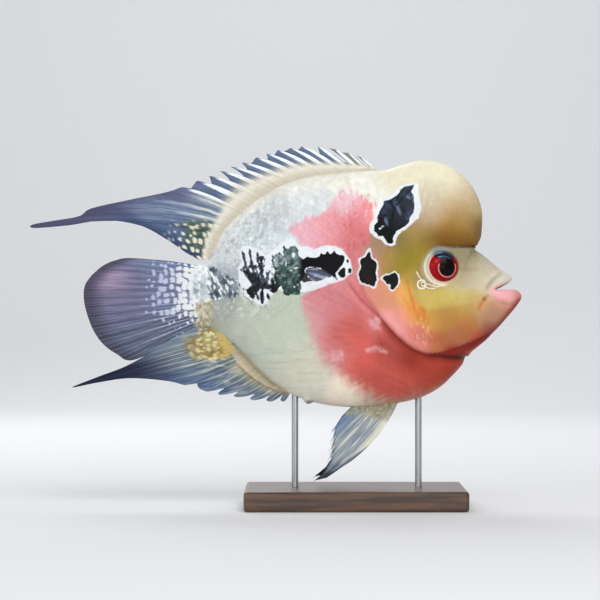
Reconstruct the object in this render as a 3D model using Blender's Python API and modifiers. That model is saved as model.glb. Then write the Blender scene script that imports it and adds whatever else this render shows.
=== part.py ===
"""Flowerhorn cichlid, a still model at life size on a plain display stand.

Metres, +Z up. The origin is the middle of the stand base's underside. The head points to +X and the
right flank faces -Y. Lengths in the tables are millimetres and become metres when a shape is built.

The body is one closed surface: ribs set along it from the tail stalk to the inside of the mouth, each rib a
section bent through a top, a widest and a bottom point. Thin saw cuts part it into the pieces a person would
name. A fin is a sheet between the line of its ray roots and the line of its ray tips, and its spines and
rays are ridges of that sheet.
"""
import math

import bmesh
import bpy
import numpy as np
from mathutils import Matrix, Vector
from mathutils.bvhtree import BVHTree

MM = 0.001
GAP = 0.3            # clearance between neighbouring pieces
SAW = 0.3            # width of the cuts that part the body
MERGE = 0.005        # points closer than this become one
AROUND = 32          # facets around the body
STEPS = 2            # sections built for each interval between ribs
MOUTH_RIBS = 3       # the last ribs, inside the mouth, have no sections between them
BODY_NAME = "flowerhorn_cichlid_model"

BASE_LENGTH = 132.0
BASE_WIDTH = 84.0
BASE_HEIGHT = 12.0
BASE_EDGE = 2.0
ROD_RADIUS = 2.0
ROD_SOCKET = 3.0     # how deep a rod stands in the base and in the belly
ROD_REAR_X = -36.0
ROD_FRONT_X = 38.0

EYE_FACETS = 24
EYE_RINGS = 12
EYE_CENTRE = (51.3, 143.5)
EYE_RADIUS = 10.0
EYE_DEPTH = 7.0
EYE_SUNK = 3.4       # how far the ball's middle lies under the cheek's surface
EYE_AXIS = (0.22, 1.0, 0.07)
PUPIL_RADIUS = 4.8
NOSTRIL_CENTRE = (71.4, 145.0)
NOSTRIL_RADIUS = 1.3

# name, top (x, z), widest (x, z), bottom (x, z), half width, fullness (1 an ellipse, less is squarer)
RIBS = [
    ("tail end", (-88.2, 144.7), (-88.2, 127.6), (-88.2, 109.6), 4.7, 0.90),
    ("stalk", (-85.2, 154.0), (-84.0, 127.6), (-83.4, 105.4), 6.0, 0.95),
    ("stalk front", (-79.8, 166.0), (-77.4, 128.2), (-75.6, 100.0), 8.4, 1.00),
    ("rear flank", (-71.4, 174.4), (-67.2, 129.4), (-65.4, 90.4), 11.9, 1.00),
    ("vent", (-59.4, 184.0), (-55.8, 130.0), (-53.4, 78.4), 15.9, 0.97),
    ("rear belly", (-43.8, 193.0), (-41.4, 130.0), (-38.4, 67.6), 20.1, 0.93),
    ("belly", (-25.8, 198.4), (-23.4, 129.4), (-19.8, 61.6), 23.9, 0.90),
    ("mid", (-7.8, 200.5), (-6.6, 128.8), (-1.8, 59.8), 26.1, 0.86),
    ("shoulder", (7.8, 201.7), (7.8, 128.8), (16.2, 60.7), 27.3, 0.82),
    ("nape", (18.6, 202.0), (18.6, 128.8), (30.0, 63.1), 27.8, 0.76),
    ("hump back", (28.2, 205.0), (26.4, 129.4), (41.4, 66.4), 27.6, 0.70),
    ("hump crown", (42.0, 207.7), (34.2, 130.0), (51.6, 72.4), 26.7, 0.66),
    ("hump front", (57.0, 203.8), (42.0, 130.6), (59.1, 79.6), 25.4, 0.64),
    ("hump brow", (69.0, 193.6), (49.2, 131.2), (63.9, 85.0), 23.7, 0.64),
    ("hump face", (75.6, 179.2), (55.2, 131.2), (65.7, 88.6), 21.8, 0.66),
    ("hump lip", (75.3, 163.6), (60.6, 131.2), (67.8, 91.9), 19.9, 0.70),
    ("notch", (72.0, 155.8), (64.8, 131.2), (73.8, 96.4), 18.2, 0.72),
    ("bridge", (76.2, 151.6), (69.0, 130.9), (79.2, 100.9), 16.5, 0.74),
    ("snout", (82.8, 145.9), (73.2, 130.6), (85.8, 107.5), 14.8, 0.78),
    ("lip root", (88.8, 141.4), (77.4, 130.3), (92.4, 115.0), 12.9, 0.82),
    ("lip fold", (93.0, 138.7), (80.4, 130.0), (97.8, 121.6), 11.5, 0.86),
    ("lip tip", (94.2, 136.6), (82.5, 130.0), (99.9, 126.4), 10.5, 0.90),
    ("lip inner", (92.1, 134.2), (83.4, 130.0), (96.6, 129.8), 8.7, 0.90),
    ("gape", (88.2, 132.1), (83.7, 130.0), (90.0, 129.6), 5.4, 0.95),
    ("throat", (85.2, 130.7), (84.2, 130.0), (86.0, 129.5), 2.1, 1.00),
]

# the lines of the cuts in the side view, as (x, z)
TAIL_SAW = [(-72.6, 196), (-70.2, 166), (-69.0, 124), (-68.4, 88), (-67.2, 70)]
HEAD_SAW = [(15.6, 214), (14.8, 193), (11.2, 175), (4.2, 156), (0.6, 141), (5.4, 125.8), (15.0, 113.2),
            (24.0, 103.0), (34.2, 94.0), (46.2, 89.8), (57.0, 89.2), (65.4, 89.8), (76.0, 89.0)]
HUMP_SAW = [(88.0, 155.2), (72.0, 155.6), (57.0, 156.1), (42.0, 157.2), (31.6, 162.0), (25.4, 172.0),
            (22.2, 187.0), (21.0, 214.0)]
LIP_SAW = [(94.0, 149.0), (88.4, 140.6), (84.0, 134.0), (80.7, 129.4), (79.7, 126.0)]
JAW_SAW = [(98.0, 131.6), (90.4, 130.9), (85.2, 130.1), (81.0, 128.4), (76.4, 123.4), (72.6, 116.8),
           (69.4, 106.0), (66.6, 97.0), (62.4, 82.0)]
GILL_CELL = [(-12, 158), (3.0, 151.4), (9.0, 154.2), (16.2, 154.6), (25.0, 151.2), (29.4, 141.0),
             (31.6, 128.0), (34.6, 113.8), (40.2, 101.8), (47.6, 94.0), (51.6, 84.0), (20.0, 84.0), (-12.0, 112.0)]
GILL_DEPTH = 15.0    # the gill cover's flat inner side, from the middle plane

# root and tip of each spine and ray in the side view, as (x, z); the last number bows a soft ray upwards
DORSAL_ROOTS_FROM = (15.0, 203.2)
DORSAL_SPINES_TO = (-76.2, 182.2)
DORSAL_ROOTS_TO = (-87.6, 149.6)
DORSAL_SPINES = [(4.2, 209.4), (-3.6, 212.2), (-11.0, 214.3), (-21.6, 216.2), (-31.8, 216.1), (-38.4, 215.2),
                 (-46.2, 214.0), (-52.8, 211.8), (-59.1, 209.5), (-67.6, 206.5), (-74.4, 204.0),
                 (-80.6, 201.4), (-87.0, 198.4), (-94.5, 195.6), (-103.8, 191.8)]
DORSAL_RAYS = [(-114.0, 188.5, 1.2), (-135.0, 184.0, 3.6), (-156.0, 179.8, 6.6), (-178.2, 172.3, 9.0),
               (-193.2, 168.7, 10.8), (-171.0, 170.5, 7.8), (-148.2, 171.7, 5.4), (-129.0, 168.7, 3.0),
               (-113.4, 160.6, 1.2), (-101.4, 152.4, 0.0), (-93.0, 147.8, 0.0)]
ANAL_ROOTS_FROM = (-39.6, 68.4)
ANAL_SPINES_TO = (-69.0, 92.0)
ANAL_ROOTS_TO = (-86.4, 107.6)
ANAL_SPINES = [(-42.3, 63.1), (-50.0, 63.0), (-60.6, 63.8), (-70.2, 65.7), (-80.6, 67.0), (-88.6, 69.0),
               (-102.0, 73.0)]
ANAL_RAYS = [(-114.0, 75.7, 0.0), (-135.0, 77.2, 0.0), (-153.0, 74.8, 0.0), (-169.2, 71.8, 0.0),
             (-153.0, 78.4, 0.0), (-138.0, 84.1, 0.0), (-123.0, 92.2, 0.0), (-106.2, 100.6, 0.0),
             (-91.2, 106.0, 0.0)]
CAUDAL_ROOT_X = -88.55
CAUDAL_ROOTS_Z = (143.6, 111.8)
CAUDAL_RAYS = [(-109.8, 147.3), (-135.0, 149.2), (-144.0, 147.7), (-150.6, 145.0), (-156.0, 140.8),
               (-159.9, 136.6), (-162.3, 132.4), (-163.0, 127.6), (-162.6, 122.2), (-161.4, 116.8),
               (-159.6, 111.1), (-156.6, 104.5), (-151.2, 97.3), (-143.4, 91.6), (-133.8, 87.8),
               (-112.2, 97.0)]
PECTORAL_ROOTS = [(9.6, 112.0), (14.4, 94.0)]
PECTORAL_RAYS = [(-25.8, 143.2, 4.8), (-30.6, 138.4, 3.6), (-32.4, 132.4, 2.6), (-33.0, 125.8, 1.8),
                 (-32.4, 119.2, 1.2), (-31.2, 112.0, 0.6), (-29.7, 104.8, 0.0), (-28.2, 98.2, 0.0),
                 (-25.2, 92.2, 0.0), (-21.0, 87.4, -0.6), (-15.6, 86.8, -0.8), (-9.0, 88.6, -0.8),
                 (-1.8, 91.0, -0.6)]
PELVIC_ROOTS = [(24.0, 61.5), (5.0, 59.9)]
PELVIC_RAYS = [(-1.8, 28.6, -3.2), (-25.8, 16.0, -3.6), (-16.9, 23.4, -2.0), (-16.2, 32.8, 0.0),
               (-14.4, 43.6, 0.6), (-6.6, 54.4, 1.0)]


def spline(rows, at):
    """Catmull-Rom curve through the rows of numbers; the row with index i is met at i."""
    rows = np.asarray(rows, float)
    at = np.asarray(at, float)
    last = len(rows) - 1
    low = np.clip(np.floor(at).astype(int), 0, last - 1)
    t = (at - low)[..., None]
    before = rows[np.maximum(low - 1, 0)]
    start = rows[low]
    end = rows[low + 1]
    after = rows[np.minimum(low + 2, last)]
    return start + 0.5 * t * (end - before + t * (2 * before - 5 * start + 4 * end - after
                                                  + t * (3 * (start - end) + after - before)))


RIB_ROWS = np.array([[*top, *wide, *bottom, half, full] for _, top, wide, bottom, half, full in RIBS])
# where the sections are built: between ribs too, but not inside the mouth
STATIONS = [step / STEPS for step in range((len(RIBS) - MOUTH_RIBS) * STEPS)] + [
    float(len(RIBS) - MOUTH_RIBS + extra) for extra in range(MOUTH_RIBS)]


def swell(x, z, centre, radius, height):
    """A soft mound of the side view: height at its centre, nothing from its radius out."""
    away = np.hypot((x - centre[0]) / radius[0], (z - centre[1]) / radius[1])
    return height * np.clip(1.0 - away ** 2, 0.0, 1.0) ** 2


def body_points(station, angle):
    """Points of the body in millimetres; angle 0 is the back, a half turn is the belly."""
    row = spline(RIB_ROWS, station)
    top, wide, bottom = row[..., 0:2], row[..., 2:4], row[..., 4:6]
    half, full = row[..., 6], row[..., 7]
    lean = np.cos(angle)[..., None]
    side = wide + lean * (top - bottom) / 2 + lean ** 2 * ((top + bottom) / 2 - wide)
    across = np.abs(np.sin(angle)) ** full
    x, z = side[..., 0], side[..., 1]
    out = half * across
    out = out + across * (swell(x, z, (56, 172), (22, 20), 1.8)       # the hump's side
                          + swell(x, z, (22, 128), (26, 32), 1.2)     # the gill cover
                          - swell(x, z, (62, 146), (12, 9), 1.2)      # the hollow before the eye
                          + swell(x, z, (42, 108), (22, 14), 0.8))    # the cheek's muscle
    y = -np.sign(np.sin(angle)) * out
    return np.stack([x, y, z], axis=-1)


def collection(name):
    """A new collection, linked to the scene."""
    made = bpy.data.collections.new(name)
    bpy.context.scene.collection.children.link(made)
    return made


def principled(name, colour, roughness, metallic=0.0):
    """A material with one Principled shader."""
    made = bpy.data.materials.new(name)
    made.use_nodes = True
    shader = made.node_tree.nodes["Principled BSDF"]
    shader.inputs["Base Color"].default_value = (*colour, 1.0)
    shader.inputs["Roughness"].default_value = roughness
    shader.inputs["Metallic"].default_value = metallic
    made.diffuse_color = (*colour, 1.0)
    return made


def add_object(name, mesh, group):
    """An object with this mesh, in this collection."""
    made = bpy.data.objects.new(name, mesh)
    group.objects.link(made)
    return made


def mesh_from(bm, name):
    """The bmesh as a mesh, its faces turned outwards."""
    bmesh.ops.recalc_face_normals(bm, faces=bm.faces)
    mesh = bpy.data.meshes.new(name)
    bm.to_mesh(mesh)
    bm.free()
    return mesh


def ball(name, segments, rings, place):
    """A sphere whose points are placed by a function of ring (0 to rings) and turn (0 to one turn)."""
    bm = bmesh.new()
    bmesh.ops.create_uvsphere(bm, u_segments=segments, v_segments=rings, radius=1.0)
    for vert in bm.verts:
        ring = round(math.acos(max(-1.0, min(1.0, vert.co.z))) / math.pi * rings)
        turn = round(math.atan2(vert.co.y, vert.co.x) / math.tau * segments) / segments % 1.0
        vert.co = Vector([float(value) * MM for value in place(ring, turn)])
    bmesh.ops.triangulate(bm, faces=bm.faces)
    return mesh_from(bm, name)


def body_place(ring, turn):
    """A point of the body for the ball: the rings are the sections, the poles close the two ends."""
    if ring == 0:
        return (RIBS[0][2][0], 0.0, RIBS[0][2][1])
    if ring == len(STATIONS) + 1:
        return (RIBS[-1][2][0] + 0.3, 0.0, RIBS[-1][2][1])
    return body_points(STATIONS[ring - 1], math.tau * turn)


def apply_modifiers(obj):
    """Bake the object's modifiers into its mesh."""
    graph = bpy.context.evaluated_depsgraph_get()
    baked = bpy.data.meshes.new_from_object(obj.evaluated_get(graph))
    old = obj.data
    obj.modifiers.clear()
    obj.data = baked
    bpy.data.meshes.remove(old)


def boolean(obj, operation, cutter, solver="EXACT"):
    """Cut the object with the cutter, or keep what they share, and bake the result."""
    modifier = obj.modifiers.new(operation.lower(), "BOOLEAN")
    modifier.operation = operation
    modifier.object = cutter
    modifier.solver = solver
    apply_modifiers(obj)


def loose_parts(mesh):
    """The separate closed surfaces of a mesh, largest first, each a new mesh of triangles."""
    whole = bmesh.new()
    whole.from_mesh(mesh)
    whole.faces.ensure_lookup_table()
    label = [-1] * len(whole.faces)
    count = 0
    for first in whole.faces:
        if label[first.index] >= 0:
            continue
        label[first.index] = count
        part = [first]
        for face in part:
            for edge in face.edges:
                for other in edge.link_faces:
                    if label[other.index] < 0:
                        label[other.index] = count
                        part.append(other)
        count += 1
    made = []
    for number in range(count):
        bm = whole.copy()
        away = [face for face, mark in zip(bm.faces, label) if mark != number]
        bmesh.ops.delete(bm, geom=away, context="FACES")
        bmesh.ops.remove_doubles(bm, verts=bm.verts, dist=MERGE * MM)
        bmesh.ops.dissolve_degenerate(bm, edges=bm.edges, dist=MERGE * MM)
        bmesh.ops.triangulate(bm, faces=bm.faces)
        made.append((bm.calc_volume(), mesh_from(bm, "part")))
    whole.free()
    return [mesh for volume, mesh in sorted(made, key=lambda pair: -abs(pair[0]))]


def cutter_object(name, mesh):
    """An object kept out of the model, shown as wires."""
    made = add_object(name, mesh, cutters)
    made.hide_render = True
    made.display_type = "WIRE"
    return made


def saw(name, line, half_span=42.0, steps=2):
    """A thin sheet across the body that follows a line of the side view."""
    at = np.linspace(0, len(line) - 1, (len(line) - 1) * steps + 1)
    points = spline(line, at)
    bm = bmesh.new()
    bmesh.ops.create_grid(bm, x_segments=len(points) - 1, y_segments=1, size=1.0)
    for vert in bm.verts:
        column = round((vert.co.x + 1) / 2 * (len(points) - 1))
        x, z = points[column]
        vert.co = Vector((x, math.copysign(half_span, vert.co.y), z)) * MM
    made = cutter_object(name, mesh_from(bm, name))
    solid = made.modifiers.new("width", "SOLIDIFY")
    solid.thickness = SAW * MM
    solid.offset = 0.0
    solid.use_even_offset = True
    apply_modifiers(made)
    return made


def outward(outline, distance):
    """The closed outline with each corner moved outwards."""
    points = np.asarray(outline, float)
    along = points - np.roll(points, 1, axis=0)
    normals = np.stack([along[:, 1], -along[:, 0]], axis=1)
    normals /= np.linalg.norm(normals, axis=1)[:, None]
    area = np.sum(points[:, 0] * np.roll(points[:, 1], -1) - np.roll(points[:, 0], -1) * points[:, 1])
    both = (normals + np.roll(normals, -1, axis=0)) * math.copysign(1.0, area)
    shift = both / np.maximum(np.sum(both * both, axis=1), 0.4)[:, None] * 2 * distance
    return points + shift


def slab(name, outline, near, far):
    """A solid with this outline in the side view, from one distance across the body to another."""
    curve = bpy.data.curves.new(name, "CURVE")
    curve.dimensions = "2D"
    curve.fill_mode = "BOTH"
    curve.extrude = abs(far - near) / 2 * MM
    line = curve.splines.new("POLY")
    line.points.add(len(outline) - 1)
    for point, (x, z) in zip(line.points, outline):
        point.co = (x * MM, z * MM, 0.0, 1.0)
    line.use_cyclic_u = True
    guide = add_object(name + "_outline", curve, cutters)
    guide.matrix_world = Matrix.Translation((0, (near + far) / 2 * MM, 0)) @ Matrix.Rotation(math.pi / 2, 4, "X")
    bpy.context.view_layer.update()
    graph = bpy.context.evaluated_depsgraph_get()
    mesh = bpy.data.meshes.new_from_object(guide.evaluated_get(graph))
    mesh.transform(guide.matrix_world)
    bpy.data.objects.remove(guide)
    bm = bmesh.new()
    bm.from_mesh(mesh)
    bmesh.ops.remove_doubles(bm, verts=bm.verts, dist=0.01 * MM)
    return cutter_object(name, mesh_from(bm, name))


def surface_y(x, z):
    """How far the body's side is from the middle plane at this place of the side view, in millimetres."""
    hit = body_tree.ray_cast(Vector((x * MM, -0.2, z * MM)), Vector((0, 1, 0)))
    return -hit[0].y / MM if hit[0] else 0.0


def belly_z(x, y):
    """The height of the body's underside at this place of the plan, in millimetres."""
    hit = body_tree.ray_cast(Vector((x * MM, y * MM, 0.0)), Vector((0, 0, 1)))
    return hit[0].z / MM


def frame_of(axis):
    """A turn that takes +Z to the axis."""
    return Vector((0, 0, 1)).rotation_difference(Vector(axis).normalized()).to_matrix()


def eye_place(side, extra, with_pupil):
    """The placing function of an eyeball, or of its socket when extra is the clearance."""
    x, z = EYE_CENTRE
    turn = frame_of((EYE_AXIS[0], side * EYE_AXIS[1], EYE_AXIS[2]))
    middle = Vector((x, side * (surface_y(x, z) - EYE_SUNK), z))

    def place(ring, turned):
        polar = math.pi * ring / EYE_RINGS
        out = (EYE_RADIUS + extra) * math.sin(polar)
        height = (EYE_DEPTH + extra) * math.cos(polar)
        if with_pupil and polar < math.pi / 2:
            height += 0.5 * max(0.0, 1 - (out / PUPIL_RADIUS) ** 2) - 0.35 * math.exp(-((out - 6.2) / 0.8) ** 2)
        spin = math.tau * turned
        return middle + turn @ Vector((out * math.cos(spin), out * math.sin(spin), height))

    return place


def snapped(points, outline, clearance):
    """The points moved to the nearest place of the outline and then off it by the clearance."""
    fine = spline(outline, np.linspace(0, len(outline) - 1, 40 * len(outline)))
    tangent = np.gradient(fine, axis=0)
    normal = np.stack([-tangent[:, 1], tangent[:, 0]], axis=1)
    normal /= np.linalg.norm(normal, axis=1)[:, None]
    points = np.asarray(points, float)
    nearest = np.argmin(np.linalg.norm(points[:, None] - fine[None], axis=2), axis=1)
    return fine[nearest] + normal[nearest] * clearance


def along_outline(outline, start, end, count):
    """Points at even steps along the outline between the places nearest to start and end."""
    fine = spline(outline, np.linspace(0, len(outline) - 1, 40 * len(outline)))
    first = np.argmin(np.linalg.norm(fine - start, axis=1))
    last = np.argmin(np.linalg.norm(fine - end, axis=1))
    step = 1 if last > first else -1
    run = fine[np.arange(first, last + step, step)]
    length = np.concatenate([[0], np.cumsum(np.linalg.norm(np.diff(run, axis=0), axis=1))])
    at = np.linspace(0, length[-1], count)
    return np.stack([np.interp(at, length, run[:, 0]), np.interp(at, length, run[:, 1])], axis=1)


def fin(name, roots, tips, bows, depth, rows, spine_count, root_thick, ray_thick, web, notch):
    """A fin's sheet with its rays as ridges.

    roots and tips are (x, z) rows, one a ray. depth(x, z, way) gives the sheet's y, with way 0 at the root
    and 1 at the tip. Each ray has three columns, its crest and its two feet, and the margin between rays is
    drawn in by notch, so that the tips stand free.
    """
    roots, tips, bows = np.asarray(roots, float), np.asarray(tips, float), np.asarray(bows, float)
    count = len(roots)
    foot = 0.16
    columns = []
    for ray in range(count):
        if ray > 0:
            columns.append((ray - foot, False))
        columns.append((ray, True))
        if ray < count - 1:
            columns.append((ray + foot, False))
    at = np.array([place for place, _ in columns])
    low = np.clip(np.floor(at).astype(int), 0, count - 2)
    part = (at - low)[:, None]
    root = roots[low] * (1 - part) + roots[low + 1] * part
    tip = tips[low] * (1 - part) + tips[low + 1] * part
    bow = bows[low] * (1 - part[:, 0]) + bows[low + 1] * part[:, 0]
    crest = np.array([is_crest for _, is_crest in columns])
    draw_in = np.where(crest, 0.0, np.where(at < spine_count - 0.5, notch, notch * 0.25))

    bm = bmesh.new()
    bmesh.ops.create_grid(bm, x_segments=len(columns) - 1, y_segments=rows, size=1.0)
    weights = []
    bm.verts.ensure_lookup_table()
    for vert in bm.verts:
        column = round((vert.co.x + 1) / 2 * (len(columns) - 1))
        row = round((vert.co.y + 1) / 2 * rows)
        way = (row / rows) ** 1.15 * (1 - draw_in[column])
        run = tip[column] - root[column]
        normal = np.array([run[1], -run[0]]) / max(np.linalg.norm(run), 1e-6)
        place = root[column] + way * run + 4 * way * (1 - way) * bow[column] * normal
        x, z = float(place[0]), float(place[1])
        at_root = max(0.0, 1 - way / 0.22) ** 1.5
        thick = (ray_thick * (1 - 0.55 * way) if crest[column] else web)
        thick = max(thick, root_thick * at_root)
        vert.co = Vector((x, depth(x, z, way), z)) * MM
        weights.append(thick)
    bmesh.ops.triangulate(bm, faces=bm.faces)
    sheet = add_object(name, mesh_from(bm, name), parts)
    most = max(weights)
    group = sheet.vertex_groups.new(name="thickness")
    for index, thick in enumerate(weights):
        group.add([index], thick / most, "REPLACE")
    solid = sheet.modifiers.new("thickness", "SOLIDIFY")
    solid.thickness = most * MM
    solid.offset = 0.0
    solid.vertex_group = group.name
    apply_modifiers(sheet)
    sheet.data = loose_parts(sheet.data)[0]
    return sheet


def finish(obj, material, sharp_degrees=None):
    """Give the object its material and shade it smooth."""
    obj.data.name = obj.name
    obj.data.materials.clear()
    obj.data.materials.append(material)
    obj.data.shade_smooth()
    if sharp_degrees:
        obj.data.set_sharp_from_angle(angle=math.radians(sharp_degrees))


for old in list(bpy.data.objects):
    bpy.data.objects.remove(old)
parts = collection(BODY_NAME)
cutters = collection("cutters")

skin_head = principled("skin_head", (0.56, 0.42, 0.20), 0.35)
skin_hump = principled("skin_hump", (0.80, 0.70, 0.48), 0.30)
skin_jaw = principled("skin_jaw", (0.85, 0.55, 0.50), 0.35)
skin_gill = principled("skin_gill", (0.75, 0.35, 0.20), 0.35)
skin_flank = principled("skin_flank", (0.62, 0.32, 0.30), 0.35)
fin_web = principled("fin_web", (0.25, 0.22, 0.34), 0.40)
fin_clear = principled("fin_clear", (0.72, 0.55, 0.58), 0.30)
eye_ball = principled("eye_ball", (0.38, 0.02, 0.03), 0.10)
stand_wood = principled("stand_wood", (0.10, 0.06, 0.04), 0.45)
stand_steel = principled("stand_steel", (0.60, 0.60, 0.62), 0.30, 1.0)

# Body, parted by the saws
body_mesh = ball("body", AROUND, len(STATIONS) + 1, body_place)
body = cutter_object("body", body_mesh)
body_shape = bmesh.new()
body_shape.from_mesh(body_mesh)
body_tree = BVHTree.FromBMesh(body_shape)
body_shape.free()

for name, line in (("tail_saw", TAIL_SAW), ("head_saw", HEAD_SAW), ("hump_saw", HUMP_SAW),
                   ("lip_saw", LIP_SAW), ("jaw_saw", JAW_SAW)):
    boolean(body, "DIFFERENCE", saw(name, line))

# A place inside each piece, in the side view, that tells which piece it is
PLACES = {"torso": (-20, 130), "tail_stalk": (-78, 130), "head": (40, 125), "nuchal_hump": (50, 185),
          "upper_jaw": (90, 137), "lower_jaw": (88, 118)}
pieces = {}
for mesh in loose_parts(body.data)[:len(PLACES)]:
    corners = np.array([vert.co for vert in mesh.vertices]) / MM
    middle = corners[:, [0, 2]].mean(axis=0)
    free = {name: place for name, place in PLACES.items() if name not in pieces}
    nearest = min(free, key=lambda name: math.dist(free[name], middle))
    pieces[nearest] = add_object(nearest, mesh, parts)
bpy.data.objects.remove(body)

# Gill covers: the head's sides inside the cell, with a gap to the rest of the head
for side, word in ((-1, "right"), (1, "left")):
    cell = slab("gill_cell_" + word, GILL_CELL, side * GILL_DEPTH, side * 46.0)
    wide_cell = slab("gill_gap_" + word, outward(GILL_CELL, GAP), side * (GILL_DEPTH - GAP), side * 46.5)
    cover = add_object("gill_cover_" + word, pieces["head"].data.copy(), parts)
    boolean(cover, "INTERSECT", cell)
    cover.data = loose_parts(cover.data)[0]
    pieces[cover.name] = cover
    boolean(pieces["head"], "DIFFERENCE", wide_cell)

# Eyes in their sockets, and the nostrils
for side, word in ((-1, "right"), (1, "left")):
    eye = add_object("eye_" + word, ball("eye_" + word, EYE_FACETS, EYE_RINGS, eye_place(side, 0.0, True)), parts)
    pieces[eye.name] = eye
    socket = cutter_object("socket_" + word, ball("socket", EYE_FACETS, EYE_RINGS, eye_place(side, GAP + 0.15, False)))
    boolean(pieces["head"], "DIFFERENCE", socket)
    boolean(pieces["nuchal_hump"], "DIFFERENCE", socket)
    x, z = NOSTRIL_CENTRE
    y = side * (surface_y(x, z) + 0.2)

    def nostril_place(ring, turned):
        polar, spin = math.pi * ring / 8, math.tau * turned
        return (x + 1.2 * NOSTRIL_RADIUS * math.sin(polar) * math.cos(spin),
                y + 2.0 * math.cos(polar), z + NOSTRIL_RADIUS * math.sin(polar) * math.sin(spin))

    boolean(pieces["head"], "DIFFERENCE", cutter_object("nostril_" + word, ball("nostril", 12, 8, nostril_place)))

# Stand: a flat base and two rods that stand in shallow sockets
bm = bmesh.new()
bmesh.ops.create_cube(bm, size=1.0)
for vert in bm.verts:
    vert.co = Vector((vert.co.x * BASE_LENGTH, vert.co.y * BASE_WIDTH, (vert.co.z + 0.5) * BASE_HEIGHT)) * MM
base = add_object("stand_base", mesh_from(bm, "stand_base"), parts)
bevel = base.modifiers.new("edge", "BEVEL")
bevel.width = BASE_EDGE * MM
bevel.segments = 3
apply_modifiers(base)


def upright(name, x, bottom, top, radius, group, segments=24):
    """A round upright bar between two heights."""
    bar = bmesh.new()
    bmesh.ops.create_cone(bar, cap_ends=True, segments=segments, radius1=radius * MM, radius2=radius * MM,
                          depth=(top - bottom) * MM, matrix=Matrix.Translation((x * MM, 0, (top + bottom) / 2 * MM)))
    return add_object(name, mesh_from(bar, name), group)


for x, word in ((ROD_FRONT_X, "front"), (ROD_REAR_X, "rear")):
    low = min(belly_z(x - ROD_RADIUS, 0.0), belly_z(x + ROD_RADIUS, 0.0), belly_z(x, ROD_RADIUS))
    top = low + ROD_SOCKET
    upright("stand_rod_" + word, x, BASE_HEIGHT - ROD_SOCKET, top, ROD_RADIUS, parts)
    for target, hole_bottom, hole_top in ((pieces["torso"], low - 8, top + GAP),
                                          (base, BASE_HEIGHT - ROD_SOCKET - GAP, BASE_HEIGHT + 6)):
        hole = upright(target.name + "_hole_" + word, x, hole_bottom, hole_top, ROD_RADIUS + GAP, cutters)
        hole.hide_render = True
        hole.display_type = "WIRE"
        boolean(target, "DIFFERENCE", hole)

for piece in pieces.values():
    piece.data = loose_parts(piece.data)[0]

# Fins on the middle line
back = [rib[1] for rib in RIBS[:13]]
belly = [rib[3] for rib in RIBS[:13]]
spine_roots = along_outline(back, DORSAL_ROOTS_FROM, DORSAL_SPINES_TO, len(DORSAL_SPINES))
ray_roots = along_outline(back, DORSAL_SPINES_TO, DORSAL_ROOTS_TO, len(DORSAL_RAYS) + 1)[1:]
fin("dorsal_fin", snapped(np.vstack([spine_roots, ray_roots]), back, GAP + 0.4),
    DORSAL_SPINES + [ray[:2] for ray in DORSAL_RAYS], [0.0] * len(DORSAL_SPINES) + [ray[2] for ray in DORSAL_RAYS],
    lambda x, z, way: 0.0, 6, len(DORSAL_SPINES), 2.6, 1.5, 0.6, 0.10)

spine_roots = along_outline(belly, ANAL_ROOTS_FROM, ANAL_SPINES_TO, len(ANAL_SPINES))
ray_roots = along_outline(belly, ANAL_SPINES_TO, ANAL_ROOTS_TO, len(ANAL_RAYS) + 1)[1:]
fin("anal_fin", snapped(np.vstack([spine_roots, ray_roots]), belly, -GAP - 0.4),
    ANAL_SPINES + [ray[:2] for ray in ANAL_RAYS], [0.0] * (len(ANAL_SPINES) + len(ANAL_RAYS)),
    lambda x, z, way: -5.0 * way * max(0.0, (-84.0 - x) / 85.0) ** 0.8, 6, len(ANAL_SPINES), 2.4, 1.4, 0.6, 0.09)

caudal_z = np.linspace(*CAUDAL_ROOTS_Z, len(CAUDAL_RAYS))
fin("caudal_fin", [(CAUDAL_ROOT_X, z) for z in caudal_z], CAUDAL_RAYS, [0.0] * len(CAUDAL_RAYS),
    lambda x, z, way: 0.06 * (CAUDAL_ROOT_X - x) * min(1.0, max(0.0, (150.0 - z) / 45.0)),
    6, 0, 3.2, 1.4, 0.6, 0.04)

# Paired fins
for side, word in ((-1, "right"), (1, "left")):
    def pectoral_depth(x, z, way):
        """Off the flank by the gap at the root, and spread outwards to the tips."""
        near = surface_y(x, z) + GAP + 1.5
        spread = surface_y(12.0, 103.0) + GAP + 1.9 + 0.30 * (12.0 - x)
        return side * max(near, spread)

    roots = np.linspace(PECTORAL_ROOTS[0], PECTORAL_ROOTS[1], len(PECTORAL_RAYS))
    fin("pectoral_fin_" + word, roots, [ray[:2] for ray in PECTORAL_RAYS], [ray[2] for ray in PECTORAL_RAYS],
        pectoral_depth, 5, 0, 2.4, 1.0, 0.5, 0.04)

    def pelvic_depth(x, z, way):
        """Hanging from beside the keel and spread outwards to the tips."""
        return side * (5.0 + 0.26 * max(0.0, 60.0 - z))

    roots = np.linspace(PELVIC_ROOTS[0], PELVIC_ROOTS[1], len(PELVIC_RAYS))
    roots[:, 1] = [min(belly_z(x, side * (5.0 + across)) for across in (-2.0, 0.0, 2.0)) - GAP - 0.6
                   for x in roots[:, 0]]
    fin("pelvic_fin_" + word, roots, [ray[:2] for ray in PELVIC_RAYS], [ray[2] for ray in PELVIC_RAYS],
        pelvic_depth, 9, 1, 2.6, 1.5, 0.6, 0.06)

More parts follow.
